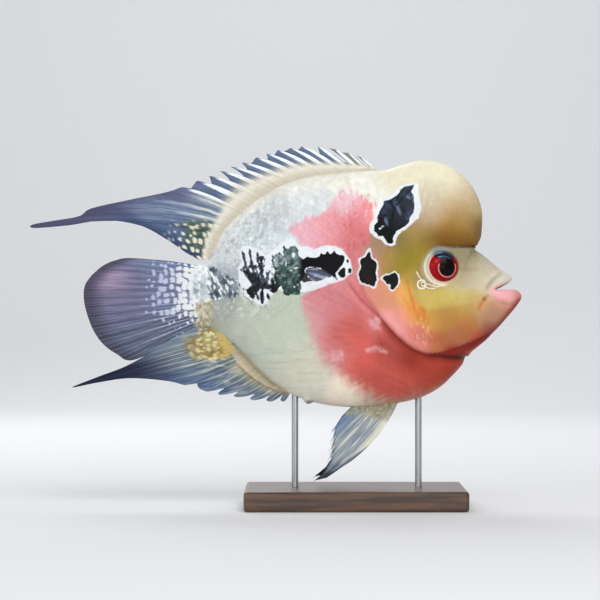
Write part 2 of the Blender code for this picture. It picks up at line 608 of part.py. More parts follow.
looks = {"head": skin_head, "nuchal_hump": skin_hump, "upper_jaw": skin_jaw, "lower_jaw": skin_jaw,
         "gill_cover_right": skin_gill, "gill_cover_left": skin_gill, "torso": skin_flank,
         "tail_stalk": skin_flank, "eye_right": eye_ball, "eye_left": eye_ball,
         "pectoral_fin_right": fin_clear, "pectoral_fin_left": fin_clear,
         "stand_base": stand_wood, "stand_rod_front": stand_steel, "stand_rod_rear": stand_steel}
for obj in parts.objects:
    finish(obj, looks.get(obj.name, fin_web), 35 if obj.name.startswith("stand") else 60)
for obj in parts.objects:
    print(obj.name, len(obj.data.polygons), "faces,", len(obj.data.vertices), "points")
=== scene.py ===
# %% [markdown]
# # A flowerhorn cichlid as a museum model
# The solids of the model are already packed in one frame: a body in a few pieces, its fins, two eyes and a
# display stand. This lesson dresses them. One skin goes over all the pieces of flesh, scale plates go over
# the skin, and the fins, eyes and stand get their own surfaces. Every length in a table is in millimetres.

# %% Open the frame
import math

import bpy
import numpy as np
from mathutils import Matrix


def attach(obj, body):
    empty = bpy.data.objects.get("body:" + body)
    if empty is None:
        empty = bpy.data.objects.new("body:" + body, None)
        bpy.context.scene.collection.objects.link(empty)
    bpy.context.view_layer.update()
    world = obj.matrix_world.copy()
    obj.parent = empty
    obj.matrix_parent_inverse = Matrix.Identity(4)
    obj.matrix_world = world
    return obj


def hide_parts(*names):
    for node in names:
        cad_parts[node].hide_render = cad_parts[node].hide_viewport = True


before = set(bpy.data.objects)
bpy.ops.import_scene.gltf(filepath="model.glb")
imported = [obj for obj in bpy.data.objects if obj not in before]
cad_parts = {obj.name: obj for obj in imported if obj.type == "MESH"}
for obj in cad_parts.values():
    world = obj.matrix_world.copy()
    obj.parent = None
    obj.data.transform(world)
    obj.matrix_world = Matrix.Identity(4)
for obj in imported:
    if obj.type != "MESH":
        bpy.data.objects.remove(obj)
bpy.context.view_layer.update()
MM = 0.001
print("nodes:", len(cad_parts))

# %% [markdown]
# ## Camera first
# The photograph is a level side view. A long lens far away keeps the outline true, so the camera stands
# 1.5 m off, level with the middle of the picture, and its frame is 0.36 m wide at the fish's middle plane.

# %% Camera
CAMERA_AWAY = 1.5
FRAME_WIDTH = 0.36
VIEW_MIDDLE = (-0.033, 0.124)

lens = bpy.data.cameras.new("camera")
lens.sensor_width = 36.0
lens.lens = 36.0 * CAMERA_AWAY / FRAME_WIDTH
camera = bpy.data.objects.new("camera", lens)
camera.location = (VIEW_MIDDLE[0], -CAMERA_AWAY, VIEW_MIDDLE[1])
camera.rotation_euler = (math.pi / 2, 0, 0)
bpy.context.scene.collection.objects.link(camera)
bpy.context.scene.camera = camera
print("lens:", lens.lens, "mm")

# %% [markdown]
# ## Floor and light
# A studio sweep is a floor that curves up into a wall, so no edge shows behind the model. It is a profile
# carried sideways. The light is soft and comes from above and in front, as over an aquarium. A low light in
# front keeps the belly open, and one behind does the same for the far side. The wall stands so far back
# that a camera can look at the model from behind too, and it has a light of its own.


# %% Helpers for surfaces
def linear(red, green, blue):
    """A colour given as screen values from 0 to 255, made linear: the standard screen curve undone."""
    value = np.array([red, green, blue], float) / 255.0
    return np.where(value <= 0.04045, value / 12.92, ((value + 0.055) / 1.055) ** 2.4)


def grid_faces(rows, columns, closed=False):
    """Four-cornered faces of a grid of points, row by row; closed joins the last column to the first."""
    across = columns if closed else columns - 1
    row, column = np.meshgrid(np.arange(rows - 1), np.arange(across), indexing="ij")
    first = row * columns + column
    second = row * columns + (column + 1) % columns
    return np.stack([first, second, second + columns, first + columns], axis=-1).reshape(-1, 4)


def make_piece(name, points, quads, triangles=None, flip=False, smooth=True):
    """A mesh object from points in millimetres and faces as arrays of point numbers."""
    loops, sizes = [np.asarray(quads).reshape(-1)], [np.full(len(quads), 4)]
    if triangles is not None and len(triangles):
        loops.append(np.asarray(triangles).reshape(-1))
        sizes.append(np.full(len(triangles), 3))
    loops, sizes = np.concatenate(loops), np.concatenate(sizes)
    starts = np.concatenate([[0], np.cumsum(sizes)[:-1]])
    mesh = bpy.data.meshes.new(name)
    mesh.vertices.add(len(points))
    mesh.vertices.foreach_set("co", (np.asarray(points, float) * MM).astype(np.float32).ravel())
    mesh.loops.add(len(loops))
    mesh.loops.foreach_set("vertex_index", loops.astype(np.int32))
    mesh.polygons.add(len(sizes))
    mesh.polygons.foreach_set("loop_start", starts.astype(np.int32))
    mesh.update(calc_edges=True)
    mesh.validate()
    if flip:
        mesh.flip_normals()
    mesh.polygons.foreach_set("use_smooth", np.full(len(mesh.polygons), smooth))
    piece = bpy.data.objects.new(name, mesh)
    bpy.context.scene.collection.objects.link(piece)
    return piece


def store(piece, name, values):
    """Keep a number or a colour for each point of the mesh as an attribute."""
    values = np.asarray(values, float)
    if values.ndim == 1:
        layer = piece.data.attributes.new(name, "FLOAT", "POINT")
        layer.data.foreach_set("value", values.astype(np.float32))
    else:
        layer = piece.data.attributes.new(name, "FLOAT_COLOR", "POINT")
        full = np.ones((len(values), 4), np.float32)
        full[:, :values.shape[1]] = values
        layer.data.foreach_set("color", full.ravel())


# %% Helpers for materials
class Finish:
    """A material under construction, with short names for the nodes that this lesson uses."""

    def __init__(self, name):
        self.material = bpy.data.materials.new(name)
        self.material.use_nodes = True
        self.nodes = self.material.node_tree.nodes
        self.links = self.material.node_tree.links
        self.shader = self.nodes["Principled BSDF"]

    def put(self, node, socket, value):
        """Set a socket, or link it when the value is another node's output."""
        target = node.inputs[socket]
        if isinstance(value, bpy.types.NodeSocket):
            self.links.new(value, target)
        else:
            target.default_value = value

    def attribute(self, name, colour=False):
        node = self.nodes.new("ShaderNodeAttribute")
        node.attribute_name = name
        return node.outputs["Color" if colour else "Fac"]

    def place(self, scale=(1, 1, 1)):
        where = self.nodes.new("ShaderNodeTexCoord")
        mapping = self.nodes.new("ShaderNodeMapping")
        mapping.inputs["Scale"].default_value = scale
        self.links.new(where.outputs["Object"], mapping.inputs["Vector"])
        return mapping.outputs["Vector"]

    def noise(self, vector, scale, detail=3.0, rough=0.5):
        node = self.nodes.new("ShaderNodeTexNoise")
        self.put(node, "Vector", vector)
        self.put(node, "Scale", scale)
        self.put(node, "Detail", detail)
        self.put(node, "Roughness", rough)
        return node.outputs["Fac"]

    def sum(self, first, second, kind="ADD", clamp=False):
        node = self.nodes.new("ShaderNodeMath")
        node.operation = kind
        node.use_clamp = clamp
        self.put(node, 0, first)
        self.put(node, 1, second)
        return node.outputs[0]

    def step(self, value, low, high, to_low=0.0, to_high=1.0):
        node = self.nodes.new("ShaderNodeMapRange")
        node.interpolation_type = "SMOOTHSTEP"
        for socket, number in (("Value", value), ("From Min", low), ("From Max", high),
                               ("To Min", to_low), ("To Max", to_high)):
            self.put(node, socket, number)
        return node.outputs["Result"]

    def mix(self, share, first, second, blend="MIX"):
        node = self.nodes.new("ShaderNodeMix")
        node.data_type = "RGBA"
        node.blend_type = blend
        for index, value in ((0, share), (6, first), (7, second)):
            if isinstance(value, bpy.types.NodeSocket):
                self.links.new(value, node.inputs[index])
            else:
                node.inputs[index].default_value = (*value, 1.0) if index else value
        return node.outputs[2]

    def vector(self, kind, first, second):
        node = self.nodes.new("ShaderNodeVectorMath")
        node.operation = kind
        self.put(node, 0, first)
        self.put(node, "Scale" if kind == "SCALE" else 1, second)
        return node.outputs["Value" if kind in ("DISTANCE", "DOT_PRODUCT") else "Vector"]

    def segment_gap(self, where, start, end):
        """Distance to a segment: the place's share along it, kept from 0 to 1, then the gap to that point."""
        start, run = (start[0], 0.0, start[1]), (end[0] - start[0], 0.0, end[1] - start[1])
        size = run[0] ** 2 + run[2] ** 2
        off = self.vector("SUBTRACT", where, start)
        share = self.sum(self.vector("DOT_PRODUCT", off, run), 1.0 / size, "MULTIPLY", clamp=True)
        return self.vector("DISTANCE", off, self.vector("SCALE", run, share))

    def arc_gap(self, where, centre, radius, opening, width):
        """Distance to a circle that is open on one side: opening is its direction and width its half
        angle, both in degrees."""
        middle = (centre[0], 0.0, centre[1])
        ring = self.sum(self.sum(self.vector("DISTANCE", where, middle), radius, "SUBTRACT"), 0.0, "ABSOLUTE")
        out = (math.cos(math.radians(opening)), 0.0, math.sin(math.radians(opening)))
        past = self.vector("DOT_PRODUCT", self.vector("SUBTRACT", where, middle), out)
        past = self.sum(past, radius * math.cos(math.radians(width)), "SUBTRACT")
        return self.sum(ring, past, "MAXIMUM")

    def bump(self, height, distance, strength=1.0):
        node = self.nodes.new("ShaderNodeBump")
        self.put(node, "Height", height)
        node.inputs["Distance"].default_value = distance
        node.inputs["Strength"].default_value = strength
        self.links.new(node.outputs["Normal"], self.shader.inputs["Normal"])


# %% Sweep and lights
PAPER = linear(226, 227, 229)
WALL_START, WALL_ROUND, WALL_TOP = 1250.0, 1050.0, 2600.0
angle = np.linspace(0, math.pi / 2, 24)
profile = np.vstack([[[-2600.0, 0.0]],
                     np.stack([WALL_START + WALL_ROUND * np.sin(angle),
                               WALL_ROUND - WALL_ROUND * np.cos(angle)], axis=1),
                     [[WALL_START + WALL_ROUND, WALL_TOP]]])
side = np.linspace(-3000, 3000, 9)
points = np.stack([np.repeat(side, len(profile)), np.tile(profile[:, 0], len(side)),
                   np.tile(profile[:, 1], len(side))], axis=1)
sweep = make_piece("studio_sweep", points, grid_faces(len(side), len(profile)))
paper = Finish("studio_paper")
paper.put(paper.shader, "Base Color", (*PAPER, 1.0))
paper.put(paper.shader, "Roughness", 0.9)
paper.put(paper.shader, "Specular IOR Level", 0.1)
grain = paper.noise(paper.place(), 900.0)
paper.bump(grain, 0.0002, 0.1)
sweep.data.materials.append(paper.material)


def soft_light(name, place, target, size, power, colour):
    """A square area light at a place, turned to face the target; metres and watts."""
    data = bpy.data.lights.new(name, "AREA")
    data.shape = "SQUARE"
    data.size = size
    data.energy = power
    data.color = colour
    lamp = bpy.data.objects.new(name, data)
    away = np.array(place, float) - np.array(target, float)
    flat = math.hypot(away[0], away[1])
    lamp.location = place
    lamp.rotation_euler = (math.atan2(flat, away[2]), 0, math.atan2(away[0], -away[1]))
    bpy.context.scene.collection.objects.link(lamp)


FISH_MIDDLE = (-0.03, 0.0, 0.13)
soft_light("light_over_head", (0.35, -0.95, 1.15), FISH_MIDDLE, 0.8, 8.6, (1.0, 0.99, 0.97))
soft_light("light_left", (-1.2, -1.1, 0.5), FISH_MIDDLE, 0.9, 4.6, (0.96, 0.98, 1.0))
soft_light("light_low_front", (0.15, -1.15, 0.10), FISH_MIDDLE, 0.7, 3.2, (1.0, 0.99, 0.98))
soft_light("light_behind", (-0.4, 0.9, 0.9), FISH_MIDDLE, 0.8, 5.0, (1.0, 1.0, 1.0))
soft_light("light_on_wall", (0.0, 1.0, 1.7), (0.0, 2.1, 0.35), 1.2, 11.0, (1.0, 1.0, 1.0))
world = bpy.data.worlds.new("studio")
world.use_nodes = True
world.node_tree.nodes["Background"].inputs["Color"].default_value = (0.90, 0.92, 0.95, 1.0)
world.node_tree.nodes["Background"].inputs["Strength"].default_value = 0.5
bpy.context.scene.world = world
bpy.context.scene.view_settings.view_transform = "Standard"
print("five soft lights and a pale world")

# %% [markdown]
# ## The shape of the body
# The body is a row of ribs from the tail to the inside of the mouth. Each rib is a section that bends
# through three points of the middle plane or the side: the top, the widest place and the bottom. In the
# head the sections spread like a fan, so that they stand square to the high hump and to the lips. The same
# table made the solids, so the skin follows them.

# %% Ribs
# top (x, z), widest (x, z), bottom (x, z), half width, fullness (1 is an ellipse, less is squarer)
RIBS = np.array([
    [-88.2, 144.7, -88.2, 127.6, -88.2, 109.6, 4.7, 0.90],   # tail end
    [-85.2, 154.0, -84.0, 127.6, -83.4, 105.4, 6.0, 0.95],
    [-79.8, 166.0, -77.4, 128.2, -75.6, 100.0, 8.4, 1.00],
    [-71.4, 174.4, -67.2, 129.4, -65.4, 90.4, 11.9, 1.00],   # rear flank
    [-59.4, 184.0, -55.8, 130.0, -53.4, 78.4, 15.9, 0.97],
    [-43.8, 193.0, -41.4, 130.0, -38.4, 67.6, 20.1, 0.93],
    [-25.8, 198.4, -23.4, 129.4, -19.8, 61.6, 23.9, 0.90],   # belly
    [-7.8, 200.5, -6.6, 128.8, -1.8, 59.8, 26.1, 0.86],
    [7.8, 201.7, 7.8, 128.8, 16.2, 60.7, 27.3, 0.82],        # shoulder
    [18.6, 202.0, 18.6, 128.8, 30.0, 63.1, 27.8, 0.76],
    [28.2, 205.0, 26.4, 129.4, 41.4, 66.4, 27.6, 0.70],      # hump, from the back
    [42.0, 207.7, 34.2, 130.0, 51.6, 72.4, 26.7, 0.66],
    [57.0, 203.8, 42.0, 130.6, 59.1, 79.6, 25.4, 0.64],
    [69.0, 193.6, 49.2, 131.2, 63.9, 85.0, 23.7, 0.64],
    [75.6, 179.2, 55.2, 131.2, 65.7, 88.6, 21.8, 0.66],
    [75.3, 163.6, 60.6, 131.2, 67.8, 91.9, 19.9, 0.70],
    [72.0, 155.8, 64.8, 131.2, 73.8, 96.4, 18.2, 0.72],      # notch under the hump
    [76.2, 151.6, 69.0, 130.9, 79.2, 100.9, 16.5, 0.74],
    [82.8, 145.9, 73.2, 130.6, 85.8, 107.5, 14.8, 0.78],     # snout
    [88.8, 141.4, 77.4, 130.3, 92.4, 115.0, 12.9, 0.82],
    [93.0, 138.7, 80.4, 130.0, 97.8, 121.6, 11.5, 0.86],     # lips
    [94.2, 136.6, 82.5, 130.0, 99.9, 126.4, 10.5, 0.90],
    [92.1, 134.2, 83.4, 130.0, 96.6, 129.8, 8.7, 0.90],      # inside of the mouth
    [88.2, 132.1, 83.7, 130.0, 90.0, 129.6, 5.4, 0.95],
    [85.2, 130.7, 84.2, 130.0, 86.0, 129.5, 2.1, 1.00]])
EYE_CENTRE = (51.3, 143.5)
EYE_RADIUS = 10.0


def spline(rows, at):
    """Catmull-Rom curve: it meets row i at i and leaves it towards the row after, along the line of its
    two neighbours."""
    at = np.asarray(at, float)
    last = len(rows) - 1
    low = np.clip(np.floor(at).astype(int), 0, last - 1)
    t = (at - low)[..., None]
    before, start = rows[np.maximum(low - 1, 0)], rows[low]
    end, after = rows[low + 1], rows[np.minimum(low + 2, last)]
    return start + 0.5 * t * (end - before + t * (2 * before - 5 * start + 4 * end - after
                                                  + t * (3 * (start - end) + after - before)))


def swell(x, z, centre, radius, height):
    """A soft mound of the side view: (1 - r squared) squared times the height, with r 1 at its border."""
    away = np.hypot((x - centre[0]) / radius[0], (z - centre[1]) / radius[1])
    return height * np.clip(1.0 - away ** 2, 0.0, 1.0) ** 2


def body_points(station, angle):
    """Middle + cos(angle) x half the chord + cos squared x its bend, and sideways the half width times
    sin(angle) to the fullness, with soft mounds added. Angle 0 is the back and half a turn the belly."""
    row = spline(RIBS, station)
    top, wide, bottom = row[..., 0:2], row[..., 2:4], row[..., 4:6]
    lean = np.cos(angle)[..., None]
    place = wide + lean * (top - bottom) / 2 + lean ** 2 * ((top + bottom) / 2 - wide)
    across = np.maximum(np.abs(np.sin(angle)), 1e-9) ** row[..., 7]
    x, z = place[..., 0], place[..., 1]
    out = across * (row[..., 6]
                    + swell(x, z, (56, 172), (22, 20), 1.8)
                    + swell(x, z, (22, 128), (26, 32), 1.2)
                    - swell(x, z, (62, 146), (12, 9), 1.2)
                    + swell(x, z, (42, 108), (22, 14), 0.8))
    return np.stack([x, -np.sign(np.sin(angle)) * out, z], axis=-1)


print("ribs:", len(RIBS), "widest:", round(2 * RIBS[:, 6].max(), 1), "mm")

# %% [markdown]
# ## Lines and patches on the side view
# Folds, edges and markings all sit at places of the side view, on both flanks. A line is a few points, and
# its distance field says how far each point of the skin is from it. A patch is a closed outline, and its
# depth is the distance to the outline, positive inside. Both can then be cut sharp at any size.


# %% Distance and depth
def line_gap(x, z, line):
    """Distance to a line of points, and how far along the line the nearest place is, from 0 to 1."""
    line = np.asarray(line, float)
    best = np.full(np.shape(x), 1e9)
    along = np.zeros(np.shape(x))
    lengths = np.linalg.norm(np.diff(line, axis=0), axis=1)
    done = np.concatenate([[0], np.cumsum(lengths)])
    for index, length in enumerate(lengths):
        start, run = line[index], line[index + 1] - line[index]
        share = np.clip(((x - start[0]) * run[0] + (z - start[1]) * run[1]) / length ** 2, 0, 1)
        gap = np.hypot(x - start[0] - share * run[0], z - start[1] - share * run[1])
        nearer = gap < best
        best = np.where(nearer, gap, best)
        along = np.where(nearer, (done[index] + share * length) / done[-1], along)
    return best, along


def patch_depth(x, z, outline):
    """Distance to a closed outline, positive inside: the sign comes from counting the edges crossed."""
    outline = np.asarray(outline, float)
    ring = np.vstack([outline, outline[:1]])
    gap, _ = line_gap(x, z, ring)
    inside = np.zeros(np.shape(x), bool)
    for start, end in zip(ring[:-1], ring[1:]):
        crosses = (start[1] > z) != (end[1] > z)
        if abs(end[1] - start[1]) > 1e-9:
            where = start[0] + (z - start[1]) * (end[0] - start[0]) / (end[1] - start[1])
            inside ^= crosses & (x < where)
    return np.where(inside, gap, -gap)


def ease(low, high, value):
    """0 below low, 1 above high, and a smooth S between them."""
    share = np.clip((value - low) / (high - low), 0, 1)
    return share * share * (3 - 2 * share)


LATTICE = np.random.default_rng(11).random((8, 128, 128)) * 2 - 1


def ripple(p, q, size_p, size_q, layer=0, octaves=1):
    """Smooth noise from -1 to 1: random values on a lattice, joined by an S curve, halved at each octave."""
    total, weight = np.zeros(np.shape(p)), 0.0
    for octave in range(octaves):
        u, v = p / size_p * 2 ** octave + 37.3 * octave, q / size_q * 2 ** octave + 11.7 * octave
        column, row = np.floor(u).astype(int), np.floor(v).astype(int)
        a, b = u - column, v - row
        a, b = a * a * (3 - 2 * a), b * b * (3 - 2 * b)
        grid = LATTICE[(layer + octave) % 8]
        c0, c1, r0, r1 = column % 128, (column + 1) % 128, row % 128, (row + 1) % 128
        near = grid[r0, c0] * (1 - a) + grid[r0, c1] * a
        far = grid[r1, c0] * (1 - a) + grid[r1, c1] * a
        value = near * (1 - b) + far * b
        total += value * 0.5 ** octave
        weight += 0.5 ** octave
    return total / weight


# %% Lines of the head and outlines of the markings
GILL_EDGE = [(4.2, 156.0), (0.6, 141.0), (5.4, 125.8), (15.0, 113.2), (24.0, 103.0), (29.5, 97.8),
             (34.8, 94.2), (40.9, 92.0), (46.6, 91.3), (54.6, 90.4), (66.0, 90.2)]
HUMP_CREASE = [(73.8, 155.8), (67.2, 155.5), (57.0, 155.2), (52.2, 155.9), (45.0, 155.2), (40.2, 153.4)]
PREOPERCLE = [(29.4, 139.6), (31.2, 130.0), (33.6, 122.8), (36.0, 112.6)]
PREOPERCLE_LOW = [(41.4, 119.2), (39.0, 110.2)]
MAXILLA = [(78.6, 126.4), (73.2, 118.6)]
LIP_GROOVE = [(86.4, 139.6), (82.8, 136.0), (78.4, 131.2)]
LOWER_LIP_GROOVE = [(80.6, 127.4), (84.4, 122.6), (91.0, 120.6), (97.0, 121.2)]
BRANCHIAL = [(44.0, 91.8), (52.4, 93.2), (58.1, 94.9), (69.5, 98.8), (75.2, 101.5), (82.8, 105.4)]
THROAT_FOLD = [(45.0, 91.0), (55.2, 90.3), (64.8, 90.1)]
SKIN_FOLD = [(-6.4, 134.2), (0.4, 124.6), (6.0, 118.6), (13.6, 112.6)]

HUMP_BLOTCH = [(35.1, 192.4), (28.8, 191.2), (26.4, 189.4), (25.6, 187.2), (23.4, 185.4), (20.4, 183.4),
               (16.4, 182.8), (16.2, 180.4), (14.4, 177.4), (13.4, 174.6), (12.4, 172.6), (13.4, 170.6),
               (10.8, 168.2), (10.6, 164.6), (12.4, 163.2), (13.4, 161.4), (15.8, 162.2), (17.2, 159.8),
               (18.6, 157.2), (21.9, 157.4), (22.2, 161.6), (24.2, 164.8), (28.4, 167.2), (31.4, 169.6),
               (31.9, 173.0), (34.0, 175.0), (34.9, 181.0), (34.0, 186.6), (32.6, 188.0)]
HUMP_HALO = [(37.4, 193.8), (31.0, 193.0), (26.5, 191.5), (23.0, 188.0), (19.5, 184.9), (15.0, 184.0),
             (13.6, 180.5), (11.5, 175.5), (10.4, 172.6), (8.6, 170.0), (8.0, 166.5), (8.2, 163.5),
             (10.5, 161.6), (13.0, 159.8), (15.2, 159.6), (17.0, 156.8), (20.5, 155.4), (23.3, 156.6),
             (24.2, 161.5), (27.0, 164.2), (30.5, 166.4), (33.6, 169.4), (37.0, 172.2), (38.6, 177.0),
             (38.4, 182.0), (37.2, 186.5)]
GILL_BLOTCH = [(8.0, 153.8), (8.9, 148.6), (11.9, 146.4), (12.2, 143.2), (11.4, 140.6), (12.4, 136.6),
               (10.6, 131.6), (6.6, 133.2), (2.6, 134.6), (1.4, 139.4), (3.0, 143.6), (2.2, 147.6),
               (5.4, 149.4)]
CHEEK_BLOTCH = [(14.8, 137.2), (17.4, 138.4), (20.4, 139.2), (22.6, 140.6), (24.6, 138.4), (25.2, 135.4),
                (24.2, 132.4), (21.4, 129.8), (20.2, 130.2), (20.2, 133.4), (18.4, 133.0), (17.0, 134.8)]
SIDE_BAR = [(-33.2, 148.6), (-31.0, 148.2), (-29.0, 149.8), (-27.0, 149.2), (-24.0, 148.8), (-21.6, 149.6),
            (-20.6, 152.4), (-19.6, 150.8), (-18.0, 151.0), (-16.8, 153.4), (-15.6, 151.2), (-14.4, 151.4),
            (-12.8, 153.2), (-11.4, 151.4), (-9.0, 150.6), (-6.8, 150.4), (-6.6, 147.6), (-8.2, 144.6),
            (-11.2, 140.8), (-12.2, 139.6), (-10.6, 136.0), (-11.6, 135.6), (-13.6, 138.6), (-16.5, 139.6),
            (-20.5, 142.6), (-24.0, 143.4), (-28.0, 143.6), (-30.6, 141.6), (-28.6, 138.0), (-26.0, 135.2),
            (-29.0, 134.8), (-30.2, 133.8), (-31.6, 135.2), (-33.4, 136.0)]
BAR_CHIP = [(-11.0, 139.8), (-7.4, 143.4), (-6.2, 142.6), (-6.2, 138.4), (-7.4, 137.0), (-9.0, 137.4)]
BAR_FEATHER = [(-30.2, 141.4), (-27.6, 143.2), (-23.6, 143.0), (-19.6, 141.8), (-15.4, 139.4),
               (-13.4, 137.8), (-17.2, 137.4), (-20.0, 135.8), (-23.6, 134.8), (-25.6, 135.6),
               (-28.4, 138.6)]
SIDE_PATCH = [(-49.2, 150.4), (-46.8, 150.6), (-44.8, 152.0), (-43.2, 151.2), (-41.8, 155.6), (-40.6, 153.4),
              (-39.2, 155.8), (-35.4, 155.8), (-34.4, 153.8), (-33.8, 149.6), (-32.8, 149.0), (-32.6, 127.4),
              (-36.5, 127.0), (-42.8, 127.2), (-43.4, 130.4), (-45.4, 133.4), (-46.6, 136.0), (-48.0, 139.4),
              (-48.6, 144.0)]
SIDE_WINDOWS = [(-36.9, 150.6, 1.1, 1.6), (-41.4, 145.8, 0.45, 1.9), (-35.4, 142.9, 1.7, 0.55),
                (-38.2, 141.4, 0.8, 0.45), (-36.4, 131.8, 0.5, 0.5)]
BAR_HALO = [(-68.0, 156.2), (-63.0, 156.4), (-57.5, 154.6), (-53.0, 150.6), (-50.0, 152.4), (-45.6, 156.6),
            (-41.0, 159.4), (-38.0, 161.4), (-35.0, 158.6), (-33.2, 155.6), (-29.0, 156.2), (-26.6, 155.0),
            (-25.0, 153.4), (-22.4, 155.2), (-18.0, 156.6), (-12.4, 156.0), (-8.0, 154.0), (-5.6, 150.6),
            (-3.4, 148.2), (-3.0, 145.6), (-1.8, 141.6), (-2.4, 139.4), (-5.0, 138.4), (-6.6, 136.4),
            (-10.0, 134.8), (-15.0, 133.4), (-21.0, 131.0), (-27.0, 129.0), (-32.6, 128.4), (-42.4, 128.6),
            (-46.8, 130.6), (-50.6, 125.4), (-52.4, 122.4), (-55.4, 119.9), (-59.0, 122.6), (-62.2, 124.0),
            (-66.0, 126.4), (-69.8, 136.6), (-69.8, 143.8), (-67.4, 147.0), (-69.2, 152.0)]
REAR_PATCH = [(-66.6, 144.4), (-62.6, 143.8), (-58.4, 145.4), (-56.8, 149.8), (-54.0, 150.6), (-51.4, 148.0),
              (-50.0, 144.6), (-48.2, 140.2), (-46.0, 138.6), (-44.6, 132.6), (-47.0, 129.0), (-49.6, 128.4),
              (-51.6, 130.4), (-57.6, 130.2), (-59.4, 126.6), (-61.0, 124.2), (-63.8, 127.4), (-65.0, 130.2),
              (-61.6, 133.2), (-64.8, 138.0), (-68.4, 141.8)]
STALK_PATCH = [(-87.5, 144.0), (-84.5, 143.6), (-81.0, 141.0), (-77.0, 140.0), (-74.0, 137.2), (-71.4, 136.8),
               (-69.0, 132.5), (-69.2, 127.0), (-73.0, 123.8), (-77.5, 125.4), (-81.0, 123.2), (-84.5, 123.4),
               (-87.4, 126.6), (-89.0, 133.0)]
# strokes: from (x, z) to (x, z), half width
REAR_STROKES = [(-67.3, 152.9, -65.8, 147.2, 1.0), (-65.8, 147.2, -64.4, 142.6, 1.2),
                (-63.1, 154.2, -62.2, 148.4, 0.9), (-62.2, 148.4, -60.8, 141.4, 1.1),
                (-58.4, 152.4, -57.8, 145.6, 0.9), (-66.0, 144.2, -57.6, 143.6, 1.0),
                (-58.7, 127.6, -57.8, 124.0, 0.75), (-55.6, 130.4, -55.3, 121.8, 1.15),
                (-52.5, 128.0, -51.4, 124.2, 0.8), (-66.8, 133.0, -66.4, 127.6, 0.4),
                (-66.4, 141.2, -60.0, 137.2, 1.7), (-61.0, 137.8, -56.0, 134.6, 2.1),
                (-60.4, 132.6, -62.4, 127.8, 1.8), (-56.6, 133.4, -60.0, 131.2, 1.6),
                (-53.0, 132.8, -48.8, 131.4, 1.3), (-50.0, 137.4, -48.8, 131.4, 0.9)]
REAR_WINDOWS = [(-60.2, 148.0, 0.9, 2.4), (-64.1, 145.6, 0.7, 1.9), (-53.6, 142.4, 0.7, 1.6),
                (-50.7, 138.0, 0.9, 1.7), (-51.6, 134.4, 0.6, 0.9), (-59.6, 141.6, 0.5, 0.8)]
STALK_STROKES = [(-84.4, 142.4, -82.4, 138.0, 0.9), (-82.4, 138.6, -81.2, 136.0, 0.9),
                 (-79.8, 139.0, -77.0, 134.6, 0.6), (-77.2, 136.0, -74.4, 130.6, 0.7),
                 (-83.8, 130.5, -82.6, 125.4, 0.9), (-74.8, 132.0, -75.2, 126.0, 0.8),
                 (-71.6, 135.0, -71.0, 128.4, 0.7), (-79.4, 133.8, -78.2, 127.6, 0.5)]
BLOTCH_VEINS = [(33.4, 191.4, 28.0, 184.2, 0.45), (28.0, 184.2, 22.8, 178.8, 0.55),
                (20.4, 183.4, 22.6, 177.6, 0.40),
                (22.6, 177.6, 21.0, 170.4, 0.60), (26.2, 180.6, 30.8, 173.4, 0.45),
                (13.6, 175.2, 21.0, 173.4, 0.35), (26.0, 188.6, 24.0, 183.0, 0.35)]
BLOTCH_LIGHTS = [(17.2, 172.2, 18.6, 168.6, 0.9), (29.8, 185.6, 32.6, 184.0, 0.7),
                 (33.6, 187.6, 34.4, 180.6, 0.6), (24.4, 179.2, 26.4, 174.6, 0.8)]
BLOTCH_SLIT = [(13.2, 165.2, 16.6, 168.2, 0.55)]
PINK_PATCH = [(-38.4, 166.0), (-29.4, 172.6), (-15.6, 178.0), (-12.6, 184.6), (-6.6, 188.8), (0.0, 186.4),
              (10.2, 182.2), (11.4, 174.4), (7.8, 166.0), (8.4, 155.8), (3.0, 149.2), (-2.4, 144.4),
              (-8.4, 154.6), (-16.8, 155.8), (-25.2, 153.4), (-32.4, 157.0)]
SALMON_FLANK = [(-33.0, 125.8), (-29.4, 128.2), (-22.2, 132.4), (-12.0, 135.4), (-4.8, 139.6),
                (-1.8, 145.6), (4.2, 154.0), (10.0, 152.0), (27.0, 136.0), (39.0, 106.0), (69.0, 97.0),
                (75.0, 89.2), (64.2, 80.8), (54.0, 71.2), (42.0, 64.0), (27.0, 61.0), (12.0, 62.2),
                (0.0, 72.4), (-12.0, 80.8), (-21.0, 89.8), (-26.4, 100.0), (-29.4, 110.8), (-31.8, 119.2)]
print("strokes of the rear patches:", len(REAR_STROKES) + len(STALK_STROKES))

# %% [markdown]
# ## Relief of the skin
# What the coarse solids can't hold is added along the skin's own normal: the free edge of the gill cover,
# the hard crease under the hump, the ring around the eye with its socket, nostrils, lips and folds. Each is
# a small function of the distance to its line or centre.

# %% Relief
NOSTRIL = (71.4, 145.0)
COVER_OUTLINE = GILL_EDGE + [(90.0, 95.0), (90.0, 150.0), (40.0, 156.0)]


def groove(gap, width, depth):
    """A rounded furrow along a line: minus the depth times a bell of the distance over the width."""
    return -depth * np.exp(-(gap / width) ** 2)


